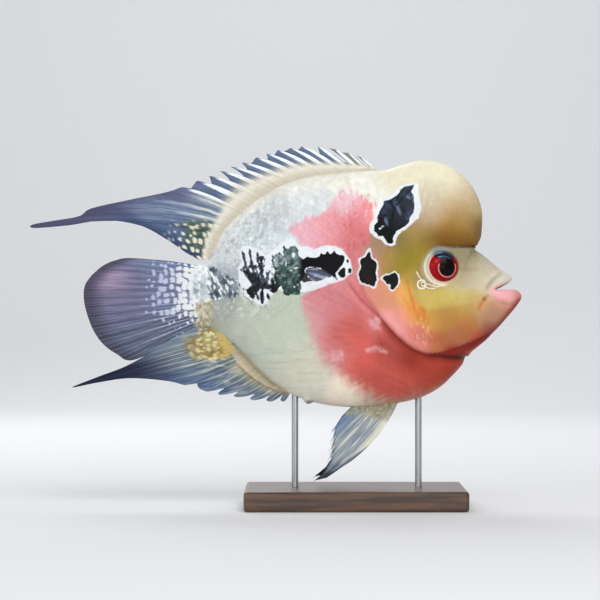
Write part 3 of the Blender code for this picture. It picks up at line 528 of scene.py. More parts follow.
def relief(x, z):
    """Height of the skin over the plain body, in millimetres, at a place of the side view."""
    gap, along = line_gap(x, z, GILL_EDGE)
    cover = patch_depth(x, z, COVER_OUTLINE)
    rim = 0.8 * np.exp(-gap / 9.0) * ease(0.0, 1.4, gap) + 0.5 * np.exp(-((gap - 2.4) / 1.6) ** 2)
    high = ease(0.0, 0.08, along) * np.where(cover > 0, rim, groove(gap, 2.4, 0.35))
    gap, along = line_gap(x, z, HUMP_CREASE)
    over = z > np.interp(x, [40, 52, 74], [153.6, 155.9, 155.8])
    strength = 1 - ease(0.55, 1.0, along)
    high += strength * np.where(over, 1.5 * np.exp(-gap / 6.0) * ease(0.0, 1.6, gap),
                                -0.9 * np.exp(-gap / 3.0))
    for line, width, depth in ((PREOPERCLE, 1.6, 0.35), (PREOPERCLE_LOW, 1.2, 0.25), (MAXILLA, 1.5, 0.7),
                               (LIP_GROOVE, 1.1, 0.8), (LOWER_LIP_GROOVE, 1.3, 0.5), (BRANCHIAL, 1.1, 0.8),
                               (THROAT_FOLD, 0.9, 0.6), (SKIN_FOLD, 1.4, 0.4)):
        gap, along = line_gap(x, z, line)
        ends = ease(0.0, 0.25, along) * (1 - ease(0.75, 1.0, along))
        high += groove(gap, width, depth) * (0.15 + 0.85 * ends)
    away = np.hypot(x - EYE_CENTRE[0], z - EYE_CENTRE[1])
    behind = ease(6.0, -4.0, x - EYE_CENTRE[0])
    high += (0.5 + 0.5 * behind) * np.exp(-((away - 11.4) / 1.4) ** 2)
    high += 0.35 * behind * np.exp(-((away - 14.2) / 1.0) ** 2)
    high -= 5.0 * (1 - ease(7.4, 9.8, away))
    away = np.hypot((x - NOSTRIL[0]) / 1.2, z - NOSTRIL[1])
    high += 0.10 * np.exp(-((away - 1.6) / 0.6) ** 2) - 0.5 * np.exp(-(away / 0.7) ** 2)
    high += swell(x, z, (14, 103), (7, 13), 1.4)                         # the pectoral fin's fleshy root
    high += swell(x, z, (-28.4, 62.4), (4.0, 5.0), 2.4)                  # the vent
    high += swell(x, z, (89, 126.5), (12, 7), 0.9)                       # the full lower lip
    high += 0.22 * ripple(x, z, 9.0, 9.0, 1, 2) * ease(0.0, 8.0, cover)  # uneven flesh of the head
    return high


def skin_points(station, angle, lift=0.0):
    """The body's points moved along their normals by the relief and by a lift; the normal is the cross
    product of the two directions of the surface, from small steps, turned away from the rib's middle."""
    step = 0.004
    here = body_points(station, angle)
    ahead = body_points(np.minimum(station + step, 24.0), angle)
    forward = ahead - body_points(np.maximum(station - step, 0.0), angle)
    around = body_points(station, angle + step) - body_points(station, angle - step)
    normal = np.cross(forward, around)
    normal /= np.maximum(np.linalg.norm(normal, axis=-1, keepdims=True), 1e-9)
    row = spline(RIBS, station)
    middle = np.stack([row[..., 2], np.zeros(np.shape(station)), row[..., 3]], axis=-1)
    outside = np.sign(np.sum(normal * (here - middle), axis=-1) + 1e-12)
    high = relief(here[..., 0], here[..., 2]) + lift
    return here + normal * (outside * high)[..., None]


# %% [markdown]
# ## Colours of the skin
# The fish goes from a cream hump over an olive and yellow cheek to a red chest, a salmon flank and a grey
# green belly. Each zone is a named centre with a reach and a colour, and a point of the skin takes the
# average of the zones around it, weighed by a bell of the distance. The hump and the face have zones of their
# own, because the crease parts them, and so have the salmon flank and the pink patch, which have borders.

# %% Zones
# The hump's zones grow darker ochre and brown towards the crease: partly its own colour, partly painted shade
# under the overhang.
HUMP_ZONES = [
    (36, 203, 9, (232, 226, 198)), (54, 199, 9, (240, 234, 206)), (21, 197, 7, (226, 220, 194)),
    (45, 188, 7, (196, 186, 160)), (66, 189, 7, (214, 196, 164)), (73, 181, 5, (182, 160, 118)),
    (60, 178, 6, (178, 148, 104)), (49, 178, 5, (196, 174, 142)), (41, 171, 6, (186, 160, 138)),
    (66, 171, 5, (166, 134, 80)), (56, 169, 5, (160, 120, 46)), (74, 167, 4, (118, 90, 42)),
    (62, 160, 5, (124, 86, 32)), (51, 160, 5, (118, 74, 16)), (42, 161, 5, (136, 104, 32)),
    (35, 164, 5, (158, 130, 72)), (27, 159, 4, (132, 114, 68)), (33, 156, 4, (148, 124, 46))]
FACE_ZONES = [
    (36, 148, 4, (152, 133, 40)), (30, 151, 4, (138, 122, 24)), (26, 146, 4, (148, 126, 42)),
    (20, 149, 4, (168, 132, 76)), (27, 157, 4, (134, 116, 68)), (41, 137, 4, (148, 114, 78)),
    (35, 137, 4, (172, 148, 68)), (38, 129, 4, (188, 162, 90)), (60, 152, 4, (152, 142, 112)),
    (68, 151, 4, (148, 140, 108)), (78, 148, 4, (188, 180, 164)), (66, 145, 4, (166, 152, 120)),
    (72, 140, 5, (190, 180, 148)), (63, 139, 4, (182, 162, 128)), (76, 134, 5, (218, 205, 178)),
    (66, 131, 5, (202, 186, 156)), (58, 128, 4, (206, 190, 130)), (50, 125, 5, (204, 184, 100)),
    (44, 124, 4, (198, 170, 90)), (50, 118, 4, (184, 136, 66)), (44, 112, 4, (206, 154, 76)),
    (55, 113, 5, (184, 132, 66)), (66, 118, 5, (192, 156, 80)), (74, 121, 4, (208, 160, 112)),
    (29, 127, 4, (230, 168, 88)), (34, 117, 4, (230, 154, 76)), (19, 125, 4, (214, 146, 112)),
    (8, 126, 4, (216, 136, 122)), (6, 147, 4, (204, 138, 126)),
    (24, 112, 5, (234, 152, 144)), (36, 101, 5, (212, 124, 112)), (50, 99, 4, (176, 104, 66)),
    (66, 109, 4, (182, 108, 62)), (80, 114, 5, (182, 140, 112)), (88, 118, 4, (184, 132, 104)),
    (89, 123, 3, (234, 170, 148)), (94, 125, 3, (216, 156, 138)), (86, 128, 3, (244, 168, 172)),
    (91, 137, 3, (214, 208, 192)), (84, 134, 3, (224, 214, 200)), (80, 107, 3, (152, 76, 62)),
    (74, 100, 3, (190, 80, 56)), (57, 93, 3, (146, 42, 22)), (60, 101, 4, (178, 106, 78))]
FLANK_ZONES = [
    (-9, 200, 8, (238, 233, 216)), (-33, 197, 8, (246, 242, 232)), (12, 157, 4, (158, 128, 102)),
    (8, 189, 7, (234, 234, 226)), (-27, 181, 10, (210, 216, 217)), (-45, 171, 8, (194, 201, 203)),
    (-60, 166, 8, (190, 198, 198)), (-46, 155, 8, (214, 222, 224)), (-70, 172, 6, (216, 223, 223)),
    (-64, 184, 5, (240, 238, 232)), (-80, 154, 6, (198, 204, 204)), (-82, 133, 6, (160, 168, 174)),
    (-94, 127, 5, (222, 227, 228)), (-80, 116, 6, (160, 164, 152)), (-51, 112, 11, (187, 195, 177)),
    (-45, 98, 9, (198, 206, 188)), (-32, 86, 8, (214, 210, 190)), (-27, 73, 6, (226, 224, 206)),
    (-8, 66, 6, (255, 242, 220)), (-69, 105, 7, (188, 193, 180)), (-16, 140, 8, (200, 210, 212)),
    (-30, 62, 4, (236, 234, 224)), (10, 60, 5, (220, 204, 180))]
SALMON_ZONES = [
    (-2, 140, 6, (206, 132, 132)), (-13, 120, 8, (208, 126, 130)), (-26, 112, 6, (214, 156, 158)),
    (-4, 105, 7, (200, 92, 82)), (3, 92, 8, (220, 98, 90)), (10, 76, 8, (196, 86, 76)),
    (-14, 90, 7, (218, 138, 142)), (45, 80, 8, (178, 68, 52)), (26, 73, 8, (204, 92, 80)),
    (38, 67, 5, (192, 100, 90)), (60, 84, 6, (166, 54, 36)), (22, 97, 6, (174, 78, 68)),
    (12, 112, 5, (214, 124, 124)), (14, 62, 5, (202, 124, 108)), (5, 128, 6, (210, 110, 112)),
    (33, 90, 5, (148, 50, 36))]
PINK_ZONES = [
    (0, 166, 7, (212, 116, 118)), (-16, 168, 7, (230, 152, 160)), (-6, 183, 5, (234, 196, 208)),
    (7, 175, 5, (238, 152, 156)), (-30, 164, 6, (232, 172, 186)), (0, 150, 6, (206, 118, 122))]
CHEEK_BAND = [(36.0, 131.5), (44.0, 129.8), (54.0, 129.4), (64.0, 129.8), (73.0, 130.4), (78.4, 128.2),
              (76.6, 124.4), (70.0, 122.4), (60.0, 120.8), (50.0, 119.2), (42.0, 118.6), (37.0, 121.0)]


def blend(x, z, zones):
    """The average colour of the zones, each weighed by the bell exp(-(distance / reach) squared)."""
    total, weight = np.zeros((*np.shape(x), 3)), np.full(np.shape(x), 1e-12)
    for centre_x, centre_z, reach, colour in zones:
        away = ((x - centre_x) ** 2 + (z - centre_z) ** 2) / reach ** 2
        share = np.exp(-0.5 * away) + 1e-4 / (1 + away) ** 2
        total += share[..., None] * np.array(colour, float) / 255
        weight += share
    return total / weight[..., None]


def mix(first, second, share):
    """Part of the way from the first colour to the second."""
    share = np.asarray(share)[..., None]
    return np.asarray(first) * (1 - share) + np.asarray(second) * share


def tone(red, green, blue):
    """A screen colour as a row of numbers from 0 to 1."""
    return np.array([red, green, blue], float) / 255.0


def stroke_depth(x, z, strokes):
    """Depth inside tapered strokes, each half width times (1 - half of (2 along - 1) squared)."""
    best = np.full(np.shape(x), -99.0)
    for x0, z0, x1, z1, wide in strokes:
        gap, along = line_gap(x, z, [(x0, z0), (x1, z1)])
        best = np.maximum(best, wide * (1 - 0.5 * (2 * along - 1) ** 2) - gap)
    return best


def inside(x, z, outline, soft=0.5):
    """1 inside an outline and 0 outside, with a border as wide as soft."""
    return ease(-soft, soft, patch_depth(x, z, outline))


def windows_gap(x, z, windows):
    """Depth outside the nearest of some small ellipses, about in millimetres and negative inside."""
    best = np.full(np.shape(x), 9.0)
    for at_x, at_z, wide, tall in windows:
        best = np.minimum(best, (np.hypot((x - at_x) / wide, (z - at_z) / tall) - 1.0) * min(wide, tall))
    return best


def marks(x, z):
    """Depths of the dark markings and of their pale halos, the ink's colour, and depths of the painted shade
    in the creases.
    """
    jag = ripple(x, z, 1.6, 1.6, 2, 2)
    side_depth = patch_depth(x, z, SIDE_PATCH)
    feather = patch_depth(x, z, BAR_FEATHER)
    hump_depth = patch_depth(x, z, HUMP_BLOTCH) + 0.25 * jag
    bar = np.maximum.reduce([patch_depth(x, z, outline) + 0.25 * jag for outline in
                             (GILL_BLOTCH, CHEEK_BLOTCH, SIDE_BAR, BAR_CHIP)])
    dots = np.maximum(1.0 - np.hypot((x + 4.9) / 0.8, (z - 147.0) / 1.2),
                      1.0 - np.hypot((x + 3.6) / 1.1, (z - 141.2) / 1.6))
    slit = stroke_depth(x, z, BLOTCH_SLIT)
    depth = np.maximum.reduce([bar, dots, feather + 0.2 * jag, np.minimum(hump_depth, -slit)])
    ragged = 2.2 * ripple(x + 0.2 * z, z, 0.9, 3.0, 5, 2) * ease(-37.0, -43.0, x)
    side_mark = np.minimum(side_depth + 0.8 * jag + ragged, windows_gap(x, z, SIDE_WINDOWS) + 0.2 * jag)
    weave = ripple(x + 0.25 * z, z, 1.0, 4.2, 5, 2)
    open_weave = np.interp(z, [129, 139, 147], [0.46, 0.34, 0.22]) - swell(x, z, (-51.5, 145.0), (5, 8), 0.3)
    rear_patch = np.minimum(patch_depth(x, z, REAR_PATCH) + 0.8 * jag, 2.0 * (weave + open_weave))
    rear_mark = np.maximum(stroke_depth(x, z, REAR_STROKES) + 0.4 * ripple(x, z, 1.1, 1.5, 5, 2), rear_patch)
    rear_mark = np.minimum(rear_mark, windows_gap(x, z, REAR_WINDOWS) + 0.15 * jag)
    streaks = ripple(x + 0.35 * z, z, 0.9, 2.8, 6, 2)
    stalk_patch = np.minimum(0.5 * patch_depth(x, z, STALK_PATCH) + 0.5 * jag, 2.0 * (streaks + 0.04))
    stalk_mark = np.maximum(stroke_depth(x, z, STALK_STROKES) + 0.6 * streaks, stalk_patch)
    depth = np.maximum.reduce([depth, side_mark, rear_mark, stalk_mark])

    halo = np.maximum.reduce([
        patch_depth(x, z, HUMP_HALO), patch_depth(x, z, GILL_BLOTCH) + 1.0,
        patch_depth(x, z, CHEEK_BLOTCH) + 0.9, patch_depth(x, z, BAR_HALO),
        0.8 * patch_depth(x, z, STALK_PATCH) - 1.0 + 2.0 * ripple(x, z, 2.6, 2.6, 7, 2)]) + 0.45 * jag

    black = np.broadcast_to(tone(3, 4, 7), (*np.shape(x), 3))
    slate = mix(tone(30, 38, 52), tone(64, 76, 98), ease(-0.3, 0.6, ripple(x - z, x + z, 6.0, 6.0, 3, 2)))
    facet = mix(black, slate, ease(163, 178, z + 0.5 * (x - 20)))
    facet = mix(facet, tone(112, 128, 150), 0.75 * ease(-0.4, 0.3, stroke_depth(x, z, BLOTCH_LIGHTS)))
    facet = mix(facet, black, 0.9 * ease(-0.3, 0.15, stroke_depth(x, z, BLOTCH_VEINS)))
    ink = mix(black, facet, ease(-1.0, 0.0, hump_depth))
    ink = mix(ink, tone(40, 12, 10),
              0.6 * ease(146, 134, z) * ease(-2.0, -1.0, patch_depth(x, z, GILL_BLOTCH)))
    fan = np.sin(1.9 * (z - 141.5) / np.maximum(0.12 * (x + 33.0), 0.2) + 1.2 * jag)
    plume = mix(tone(48, 58, 84), tone(158, 172, 196), ease(-0.3, 0.9, fan) * ease(-31, -24, x))
    plume = mix(plume, tone(96, 58, 54), 0.6 * ease(0.8, 0.1, feather) * ease(139.5, 142.0, z))
    ink = mix(ink, plume, ease(-0.2, 0.3, feather))
    mottle = ripple(x, z, 1.6, 2.2, 1, 3) + 0.5 * ease(136, 150, z) - 0.25
    green = mix(tone(46, 70, 64), tone(104, 122, 122), ease(-0.5, 0.5, mottle))
    green = mix(green, tone(26, 42, 42),
                0.8 * ease(0.05, 0.5, ripple(x, z, 1.2, 1.8, 7, 2)) * ease(156, 138, z))
    speck = ripple(x, z, 1.0, 1.4, 4, 2) + swell(x, z, (-46.0, 146.0), (6.0, 9.0), 0.6) - 0.2
    green = mix(green, tone(176, 188, 190), 0.8 * ease(0.25, 0.5, speck) + 0.25 * ease(0.0, 0.6, mottle))
    ink = mix(ink, green, ease(-0.8, 0.4, side_depth))
    cool = ease(-0.2, 0.5, ripple(x + 0.30 * z, z, 1.1, 4.0, 3, 2))
    rear = mix(tone(8, 11, 16), tone(74, 92, 122), cool * (0.25 + swell(x, z, (-54.5, 141.0), (7, 11), 0.75)))
    mossy = ease(-0.1, 0.5, ripple(x, z, 1.5, 1.5, 1, 2)) * swell(x, z, (-57.0, 134.0), (10, 8), 0.9)
    rear = mix(rear, tone(46, 66, 60), mossy)
    rear = mix(rear, tone(112, 128, 146), 0.8 * ease(0.8, 0.1, rear_mark) * ease(128.0, 136.0, z))
    ink = mix(ink, rear, ease(-0.8, 0.0, rear_mark) * (side_depth < -0.5))
    dusk = mix(tone(60, 70, 82), tone(134, 146, 156), ease(-0.4, 0.5, ripple(x, z, 1.4, 2.4, 2, 2)))
    dusk = mix(dusk, tone(146, 158, 166), 0.8 * ease(0.5, 0.1, stalk_mark))
    ink = mix(ink, dusk, ease(-0.8, 0.0, stalk_mark) * (x < -69.5))

    # Painted shade: dark lines in the creases along the lower gill edge, under the hump, on the cheek's lower
    # edge and in the throat.
    crease_shade = np.full(np.shape(x), -9.0)
    for line, width in ((GILL_EDGE[5:], 0.15), (HUMP_CREASE[:-2], 0.35), (BRANCHIAL, 0.1),
                        (THROAT_FOLD, 0.6)):
        gap, along = line_gap(x, z, line)
        ends = ease(0.0, 0.15, along) * (1 - 0.7 * ease(0.7, 1.0, along))
        crease_shade = np.maximum(crease_shade, width * ends - gap + 0.2 * jag)
    return depth, halo, ink, crease_shade


def tail_root(x, z):
    """White scales with grey gaps at the tail's root, a blue grey smudge and a tan lower corner."""
    fine = ripple(x, z, 1.5, 1.9, 6, 2)
    root = mix(tone(186, 196, 202), tone(247, 249, 248), 0.5 + 0.9 * fine)
    smudge = swell(x, z, (-95.0, 132.0), (8.0, 8.0), 1.0) * ease(-0.3, 0.3, ripple(x, z, 1.8, 2.4, 3, 2))
    root = mix(root, tone(116, 132, 138), 0.95 * smudge)
    tan = mix(tone(140, 127, 92), tone(212, 206, 182), 0.5 + 0.9 * ripple(x, z, 1.3, 2.0, 4, 2))
    return mix(root, tan, 0.9 * ease(125.5, 121.5, z - 0.28 * (x + 88.0) + 1.8 * fine))


def around_eye(x, z, tint):
    """The pale orbit behind the eye with its fine rings."""
    away = np.hypot(x - 51.0, z - 143.3)
    turn = np.degrees(np.arctan2(z - 143.3, x - 51.0)) % 360
    back = ease(60, 95, turn) * ease(250, 215, turn)
    orbit = back * ease(13.4, 12.4, away + 0.3 * ripple(x, z, 2.0, 2.0, 3))
    rings = 0.5 + 0.5 * np.cos(2 * math.pi * (away - 9.8) / 1.15)
    pale = mix(tone(138, 130, 92), tone(196, 190, 158), rings * ease(150, 205, turn + 20))
    pale = mix(pale, tone(146, 164, 176), 0.85 * ease(160, 115, turn) * ease(13.2, 11.0, away))
    tint = mix(tint, pale, 0.85 * orbit)
    rim = ease(11.4, 10.8, away) * ease(110, 140, turn) * ease(300, 270, turn)
    tint = mix(tint, tone(236, 230, 208), 0.9 * rim)
    return tint


def paint(x, z, across=0.0):
    """Colour of the skin without its dark markings, on screen values from 0 to 1. In the head the fine
    noise also changes with the distance across, or else it would draw bands over the top."""
    down = z - 1.3 * across * ease(6.0, 22.0, x)
    fine = ripple(x, down, 1.1, 1.1, 6, 2)
    streak = ripple(x + 0.15 * z, z, 1.4, 7.0, 1, 2)
    flecks = ripple(x + 0.2 * down, down, 1.0, 3.4, 4, 2)
    on_cover = ease(-0.3, 0.4, patch_depth(x, z, COVER_OUTLINE))

    blur = 0.4 + 6.0 * ease(55, 42, x)
    crease = z - np.interp(x, [20, 40, 52, 74], [158.0, 153.6, 155.9, 155.8])
    over = ease(-blur, blur, crease)
    tint = mix(blend(x, z, FACE_ZONES + FLANK_ZONES), blend(x, z, HUMP_ZONES + FLANK_ZONES), over)
    band = ease(-0.9, 0.9, patch_depth(x, z, CHEEK_BAND) + 0.3 * fine)
    tint = mix(tint, tone(206, 186, 98), 0.5 * band * ease(80, 70, x))
    veil = swell(x, z, (40.0, 184.0), (7.5, 16.0), 1.0)
    veil = veil * ease(-0.1, 0.5, ripple(x - 0.2 * z, z, 1.3, 7.0, 3, 2))
    tint = mix(tint, tone(226, 220, 204), 0.4 * veil)
    # Painted shade: a dark horizontal smear in front of the eye.
    shade = swell(x, z, (65.0, 142.2), (10.0, 2.2), 1.0)
    tint = mix(tint, tone(140, 132, 108), 0.35 * shade)

    rear = ease(-40, -54, x) * ease(106, 124, z)
    crackle = np.abs(ripple(x + 0.4 * z, z, 2.4, 3.2, 3, 2))
    tint = mix(tint, tone(150, 158, 162), 0.62 * rear * ease(0.15, 0.03, crackle))
    tint = mix(tint, tone(242, 247, 250), 0.5 * rear * ease(0.2, 0.6, ripple(x, z, 2.0, 2.6, 0, 2)))
    grained = ease(-10, -24, x) * ease(110, 98, z)
    tint = tint * (1 - 0.05 * grained * ease(0.1, 0.7, ripple(x, z, 16.0, 1.3, 7, 2)))[..., None]

    pearly = ripple(x + 0.5 * (z - 170), z, 1.6, 4.6, 7, 3) * ease(140.0, 158.0, z) * ease(8.0, -6.0, x)
    tint = tint * (1 + 0.07 * pearly + 0.025 * flecks * ease(135.0, 150.0, z))[..., None]
    below_back = np.interp(x, RIBS[:9, 0], RIBS[:9, 1]) - z
    crest = ease(9.0, 0.5, below_back + 3.0 * flecks) * ease(12.0, 4.0, x)
    tint = mix(tint, tone(229, 224, 210), 0.8 * crest)
    tint = mix(tint, tail_root(x, z), ease(-82.5, -88.0, x + 1.2 * fine))

    depth = patch_depth(x, z, SALMON_FLANK)
    soft = np.interp(z, [60, 76, 95, 110, 124, 134], [8.0, 7.0, 5.0, 3.6, 2.0, 0.8])
    stroke = ripple(z - 0.5 * x, x, 1.6, 9.0, 5, 2)
    red = ease(-1.0, 1.0, depth / soft + 0.3 * streak + 0.35 * stroke - 0.25) * (1 - on_cover)
    salmon = blend(x, z, SALMON_ZONES)
    salmon = salmon * (1 + 0.05 * ripple(z + 0.5 * x, x, 2.4, 14.0, 5, 2))[..., None]
    tint = mix(tint, salmon, red)

    depth = patch_depth(x, z, PINK_PATCH)
    upper = ease(150.0, 166.0, z)
    fringe = ease(166.0, 180.0, z) * ripple(x + 0.1 * z, z, 0.9, 6.5, 2, 2)
    pink = depth + upper * (2.4 * streak + 1.8 * flecks) + 4.5 * fringe + 0.5 * fine
    pink = ease(-1.6, 1.4, pink) * (1 - on_cover)
    comb = ripple(x + 0.12 * z, z, 0.8, 6.0, 3, 2)
    rose = blend(x, z, PINK_ZONES) * (1 - 0.05 * ease(0.1, 0.6, flecks))[..., None]
    rose = mix(rose, rose * np.array([0.98, 0.84, 0.84]), ease(0.1, 0.6, comb) * ease(-20.0, -4.0, x))
    rose = mix(rose, tone(250, 226, 230), 0.55 * ease(0.20, 0.7, flecks) * ease(152, 178, z))
    tint = mix(tint, rose, pink)

    gap, along = line_gap(x, z, GILL_EDGE)
    low = ease(122.0, 108.0, z)
    # The pale pink rim inside the cover's edge: partly its colour, partly painted highlight.
    rim = np.exp(-((gap - 3.6) / 2.8) ** 2) * on_cover * ease(122, 113, z) * ease(94, 103, z)
    tint = mix(tint, tone(240, 160, 166), 0.45 * rim)
    # Behind and under the cover's free edge: the red flesh with painted shadow, darkest at the edge.
    behind = ease(5.5, 0.8, gap + 0.6 * fine) * (1 - on_cover) * low
    tint = mix(tint, tone(146, 48, 38), 0.85 * behind)
    under = np.exp(-(gap / 1.1) ** 2) * low * (0.35 + 0.65 * ease(104, 92, z))
    tint = mix(tint, tone(110, 30, 26), 0.5 * under)

    veins = np.zeros(np.shape(x))
    for line, width, share in ((PREOPERCLE, 0.8, 0.85), (PREOPERCLE_LOW, 0.8, 0.8),
                               ([(42.8, 117.0), (42.0, 108.0)], 0.6, 0.6),
                               ([(36.2, 124.0), (39.2, 116.0)], 0.6, 0.4),
                               ([(27.0, 127.0), (33.0, 117.0)], 0.9, 0.35)):
        gap, along = line_gap(x, z, line)
        bell = np.exp(-(gap / (width * (0.5 + along))) ** 2) * (1 - ease(0.85, 1.0, along))
        veins = np.maximum(veins, share * bell)
    tint = mix(tint, tone(216, 118, 44), veins * (0.8 + 0.3 * fine))
    wedge = stroke_depth(x, z, [(37.4, 119.5, 36.4, 112.0, 1.1), (39.4, 119.5, 40.6, 111.0, 1.2)])
    tint = mix(tint, tone(204, 124, 46), 0.6 * ease(-0.5, 0.4, wedge + 0.3 * fine))
    freckle = ease(0.15, 0.5, ripple(x, z, 1.1, 1.8, 7, 2)) * swell(x, z, (38.0, 105.0), (10.0, 13.0), 1.0)
    tint = mix(tint, tone(250, 200, 160), 0.75 * freckle)
    freckle = ease(0.1, 0.5, ripple(x, z, 1.0, 1.4, 4, 2)) * swell(x, z, (42.0, 103.0), (16.0, 9.0), 1.0)
    tint = mix(tint, tone(206, 84, 50), 0.5 * freckle)

    gap, along = line_gap(x, z, MAXILLA)
    tint = mix(tint, tone(196, 116, 62), 0.6 * np.exp(-(gap / 0.9) ** 2))
    tint = mix(tint, tone(150, 100, 40), 0.8 * swell(x, z, (76.6, 124.6), (1.8, 2.2), 1.0))
    gap, along = line_gap(x, z, LIP_GROOVE)
    tint = mix(tint, tone(160, 152, 122), 0.6 * np.exp(-(gap / 1.4) ** 2))
    lip = inside(x, z, [(79.0, 130.5), (86.0, 132.2), (97.0, 132.0), (101.0, 129.0), (99.5, 124.0),
                        (92.0, 122.8), (85.0, 124.4)], 1.6)
    lip_tone = mix(tone(246, 178, 184), tone(206, 144, 132), ease(92, 99, x))
    tint = mix(tint, lip_tone, 0.75 * lip)
    # Dark red along the jaw's lower edge: partly the red of the flesh, partly painted shade on the underside.
    gap, along = line_gap(x, z, [(64.0, 93.5), (76.0, 99.8), (85.8, 107.5), (92.4, 115.0), (98.6, 123.0)])
    tint = mix(tint, tone(120, 24, 20), 0.75 * np.exp(-(gap / 2.6) ** 2))
    gape = inside(x, z, [(83.4, 130.9), (90.0, 133.4), (95.4, 136.2), (95.0, 134.0), (91.0, 131.6)], 0.5)
    tint = mix(tint, tone(120, 44, 40), 0.7 * gape)
    # Painted shade: dark brown on the hump's underside, just above its crease.
    gap, along = line_gap(x, z, HUMP_CREASE)
    tint = mix(tint, tone(84, 50, 20),
               0.55 * np.exp(-gap / 1.8) * (crease > -0.3) * (1 - ease(0.6, 1.0, along)))
    gap, along = line_gap(x, z, THROAT_FOLD)
    tint = mix(tint, tone(74, 16, 16), 0.75 * np.exp(-(gap / 2.0) ** 2) * ease(0.1, 0.8, along))
    # Painted shadow under the cheek's lower edge: dark red, wide below the line and thin above it.
    gap, along = line_gap(x, z, BRANCHIAL)
    below = z < np.interp(x, [point[0] for point in BRANCHIAL], [point[1] for point in BRANCHIAL])
    tint = mix(tint, tone(118, 26, 24), 0.75 * np.exp(-(gap / np.where(below, 2.6, 0.5)) ** 2))

    tint = around_eye(x, z, tint)
    # The fold at the pectoral fin's root: painted highlight on its ridge and painted shade in a dark red line
    # beside it.
    gap, along = line_gap(x, z, SKIN_FOLD)
    ridge = np.exp(-((gap - 0.2) / 1.3) ** 2) * ease(0.0, 0.2, along) * (1 - on_cover)
    tint = mix(tint, tone(240, 158, 156), 0.45 * ridge * (0.7 + 0.5 * fine))
    gap, along = line_gap(x - 1.2, z - 1.4, SKIN_FOLD)
    tint = mix(tint, tone(168, 62, 62), 0.45 * np.exp(-(gap / 0.7) ** 2) * (1 - on_cover))
    glint = stroke_depth(x, z, [(8.4, 112.4, 12.4, 107.4, 1.5), (11.0, 114.0, 13.8, 110.4, 1.1),
                                (6.4, 94.4, 12.0, 95.8, 0.9), (12.0, 95.8, 17.6, 93.4, 0.8),
                                (-13.6, 93.8, -12.8, 88.0, 0.5), (-11.2, 92.6, -10.6, 88.4, 0.4),
                                (-8.8, 93.4, -8.0, 87.6, 0.5)])
    tint = mix(tint, tone(248, 206, 212), 0.62 * ease(-1.6, 1.0, glint + 1.0 * fine))
    tint = mix(tint, tone(128, 110, 128), 0.9 * swell(x, z, (-27.6, 61.8), (4.4, 3.2), 1.0))
    tint = tint * (1 + 0.03 * ripple(x, down, 3.0, 3.0, 5, 3) + 0.012 * fine)[..., None]
    return np.clip(tint, 0, 1)


def to_linear(colour):
    """Screen values from 0 to 1 made linear."""
    return np.where(colour <= 0.04045, colour / 12.92, ((colour + 0.055) / 1.055) ** 2.4)


def dress(piece, x, z, tint=None):
    """Store the colours and markings for the points of a piece of the body."""
    depth, halo, ink, crease_shade = marks(x, z)
    store(piece, "tint", to_linear(paint(x, z) if tint is None else tint))
    store(piece, "ink", to_linear(ink))
    store(piece, "mark", depth)
    store(piece, "halo", halo)
    store(piece, "crease_shade", crease_shade)


# %% [markdown]
# ## The skin
# The skin is one closed grid: sections along the body, more of them in the head, and points around each
# section at even steps of its outline, so that the flank is as fine as the back. Behind the last rib it
# thins out over the root of the tail fin. Two poles close it, one on the tail fin and one in the mouth.

# %% Skin
BODY_SECTIONS, HEAD_SECTIONS, SKIN_AROUND = 110, 262, 252
SLEEVE_RINGS, SLEEVE_LONG, SLEEVE_MIDDLE = 12, 10.0, 127.6


def even_angles(station, count):
    """Angles at even steps of length around the section at each station, from back to belly and round."""
    fine = np.linspace(0, math.pi, 241)
    turn = body_points(station[:, None], np.clip(fine, 1e-4, math.pi - 1e-4)[None, :])
    run = np.concatenate([np.zeros((len(station), 1)),
                          np.cumsum(np.linalg.norm(np.diff(turn, axis=1), axis=2), axis=1)], axis=1)
    share = np.linspace(0, 1, count // 2 + 1)
    half = np.stack([np.interp(share * length[-1], length, fine) for length in run])
    return np.concatenate([half, 2 * math.pi - half[:, -2:0:-1]], axis=1)


station = np.concatenate([np.linspace(0, 9, BODY_SECTIONS, endpoint=False),
                          np.linspace(9, 24, HEAD_SECTIONS)])
angles = even_angles(station, SKIN_AROUND)
points = skin_points(np.repeat(station[:, None], SKIN_AROUND, axis=1), angles)


def tail_sleeve(ring):
    """Rings that thin out over the root of the tail fin: the first section moved back, widened a little
    downwards with the fin, and its thickness times (1 - share) to the power 1.25."""
    share = np.linspace(1, 0, SLEEVE_RINGS, endpoint=False)[:, None]
    x, y, z = ring[:, 0], ring[:, 1], ring[:, 2]
    level = (z - SLEEVE_MIDDLE) / 17.0
    back = x - share * SLEEVE_LONG * (1 - 0.35 * level ** 2)
    thin = y * (1 - share) ** 1.25
    spread = SLEEVE_MIDDLE + (z - SLEEVE_MIDDLE) * (1 + np.where(level < 0, 0.16, 0.03) * share)
    return np.stack([back, thin, spread * np.ones_like(back)], axis=-1)


points = np.concatenate([tail_sleeve(points[0]), points])
rings = len(points)
tail_pole = np.array([[-88.2 - SLEEVE_LONG, 0.0, SLEEVE_MIDDLE]])
mouth_pole = np.array([[84.4, 0.0, 130.0]])
points = np.vstack([points.reshape(-1, 3), tail_pole, mouth_pole])
quads = grid_faces(rings, SKIN_AROUND, closed=True)
turn = np.arange(SKIN_AROUND)
following = (turn + 1) % SKIN_AROUND
tail_fan = np.stack([np.full(SKIN_AROUND, rings * SKIN_AROUND), following, turn], axis=1)
last = (rings - 1) * SKIN_AROUND
mouth_fan = np.stack([np.full(SKIN_AROUND, rings * SKIN_AROUND + 1), last + turn, last + following], axis=1)
skin = make_piece("skin", points, quads, np.vstack([tail_fan, mouth_fan]))
dress(skin, points[:, 0], points[:, 2], paint(points[:, 0], points[:, 2], np.abs(points[:, 1])))
volume_sign = np.sum(points[quads[:, 0]] * np.cross(points[quads[:, 1]], points[quads[:, 2]]))
if volume_sign < 0:
    skin.data.flip_normals()
print("skin:", len(points), "points,", 2 * len(quads), "triangles")
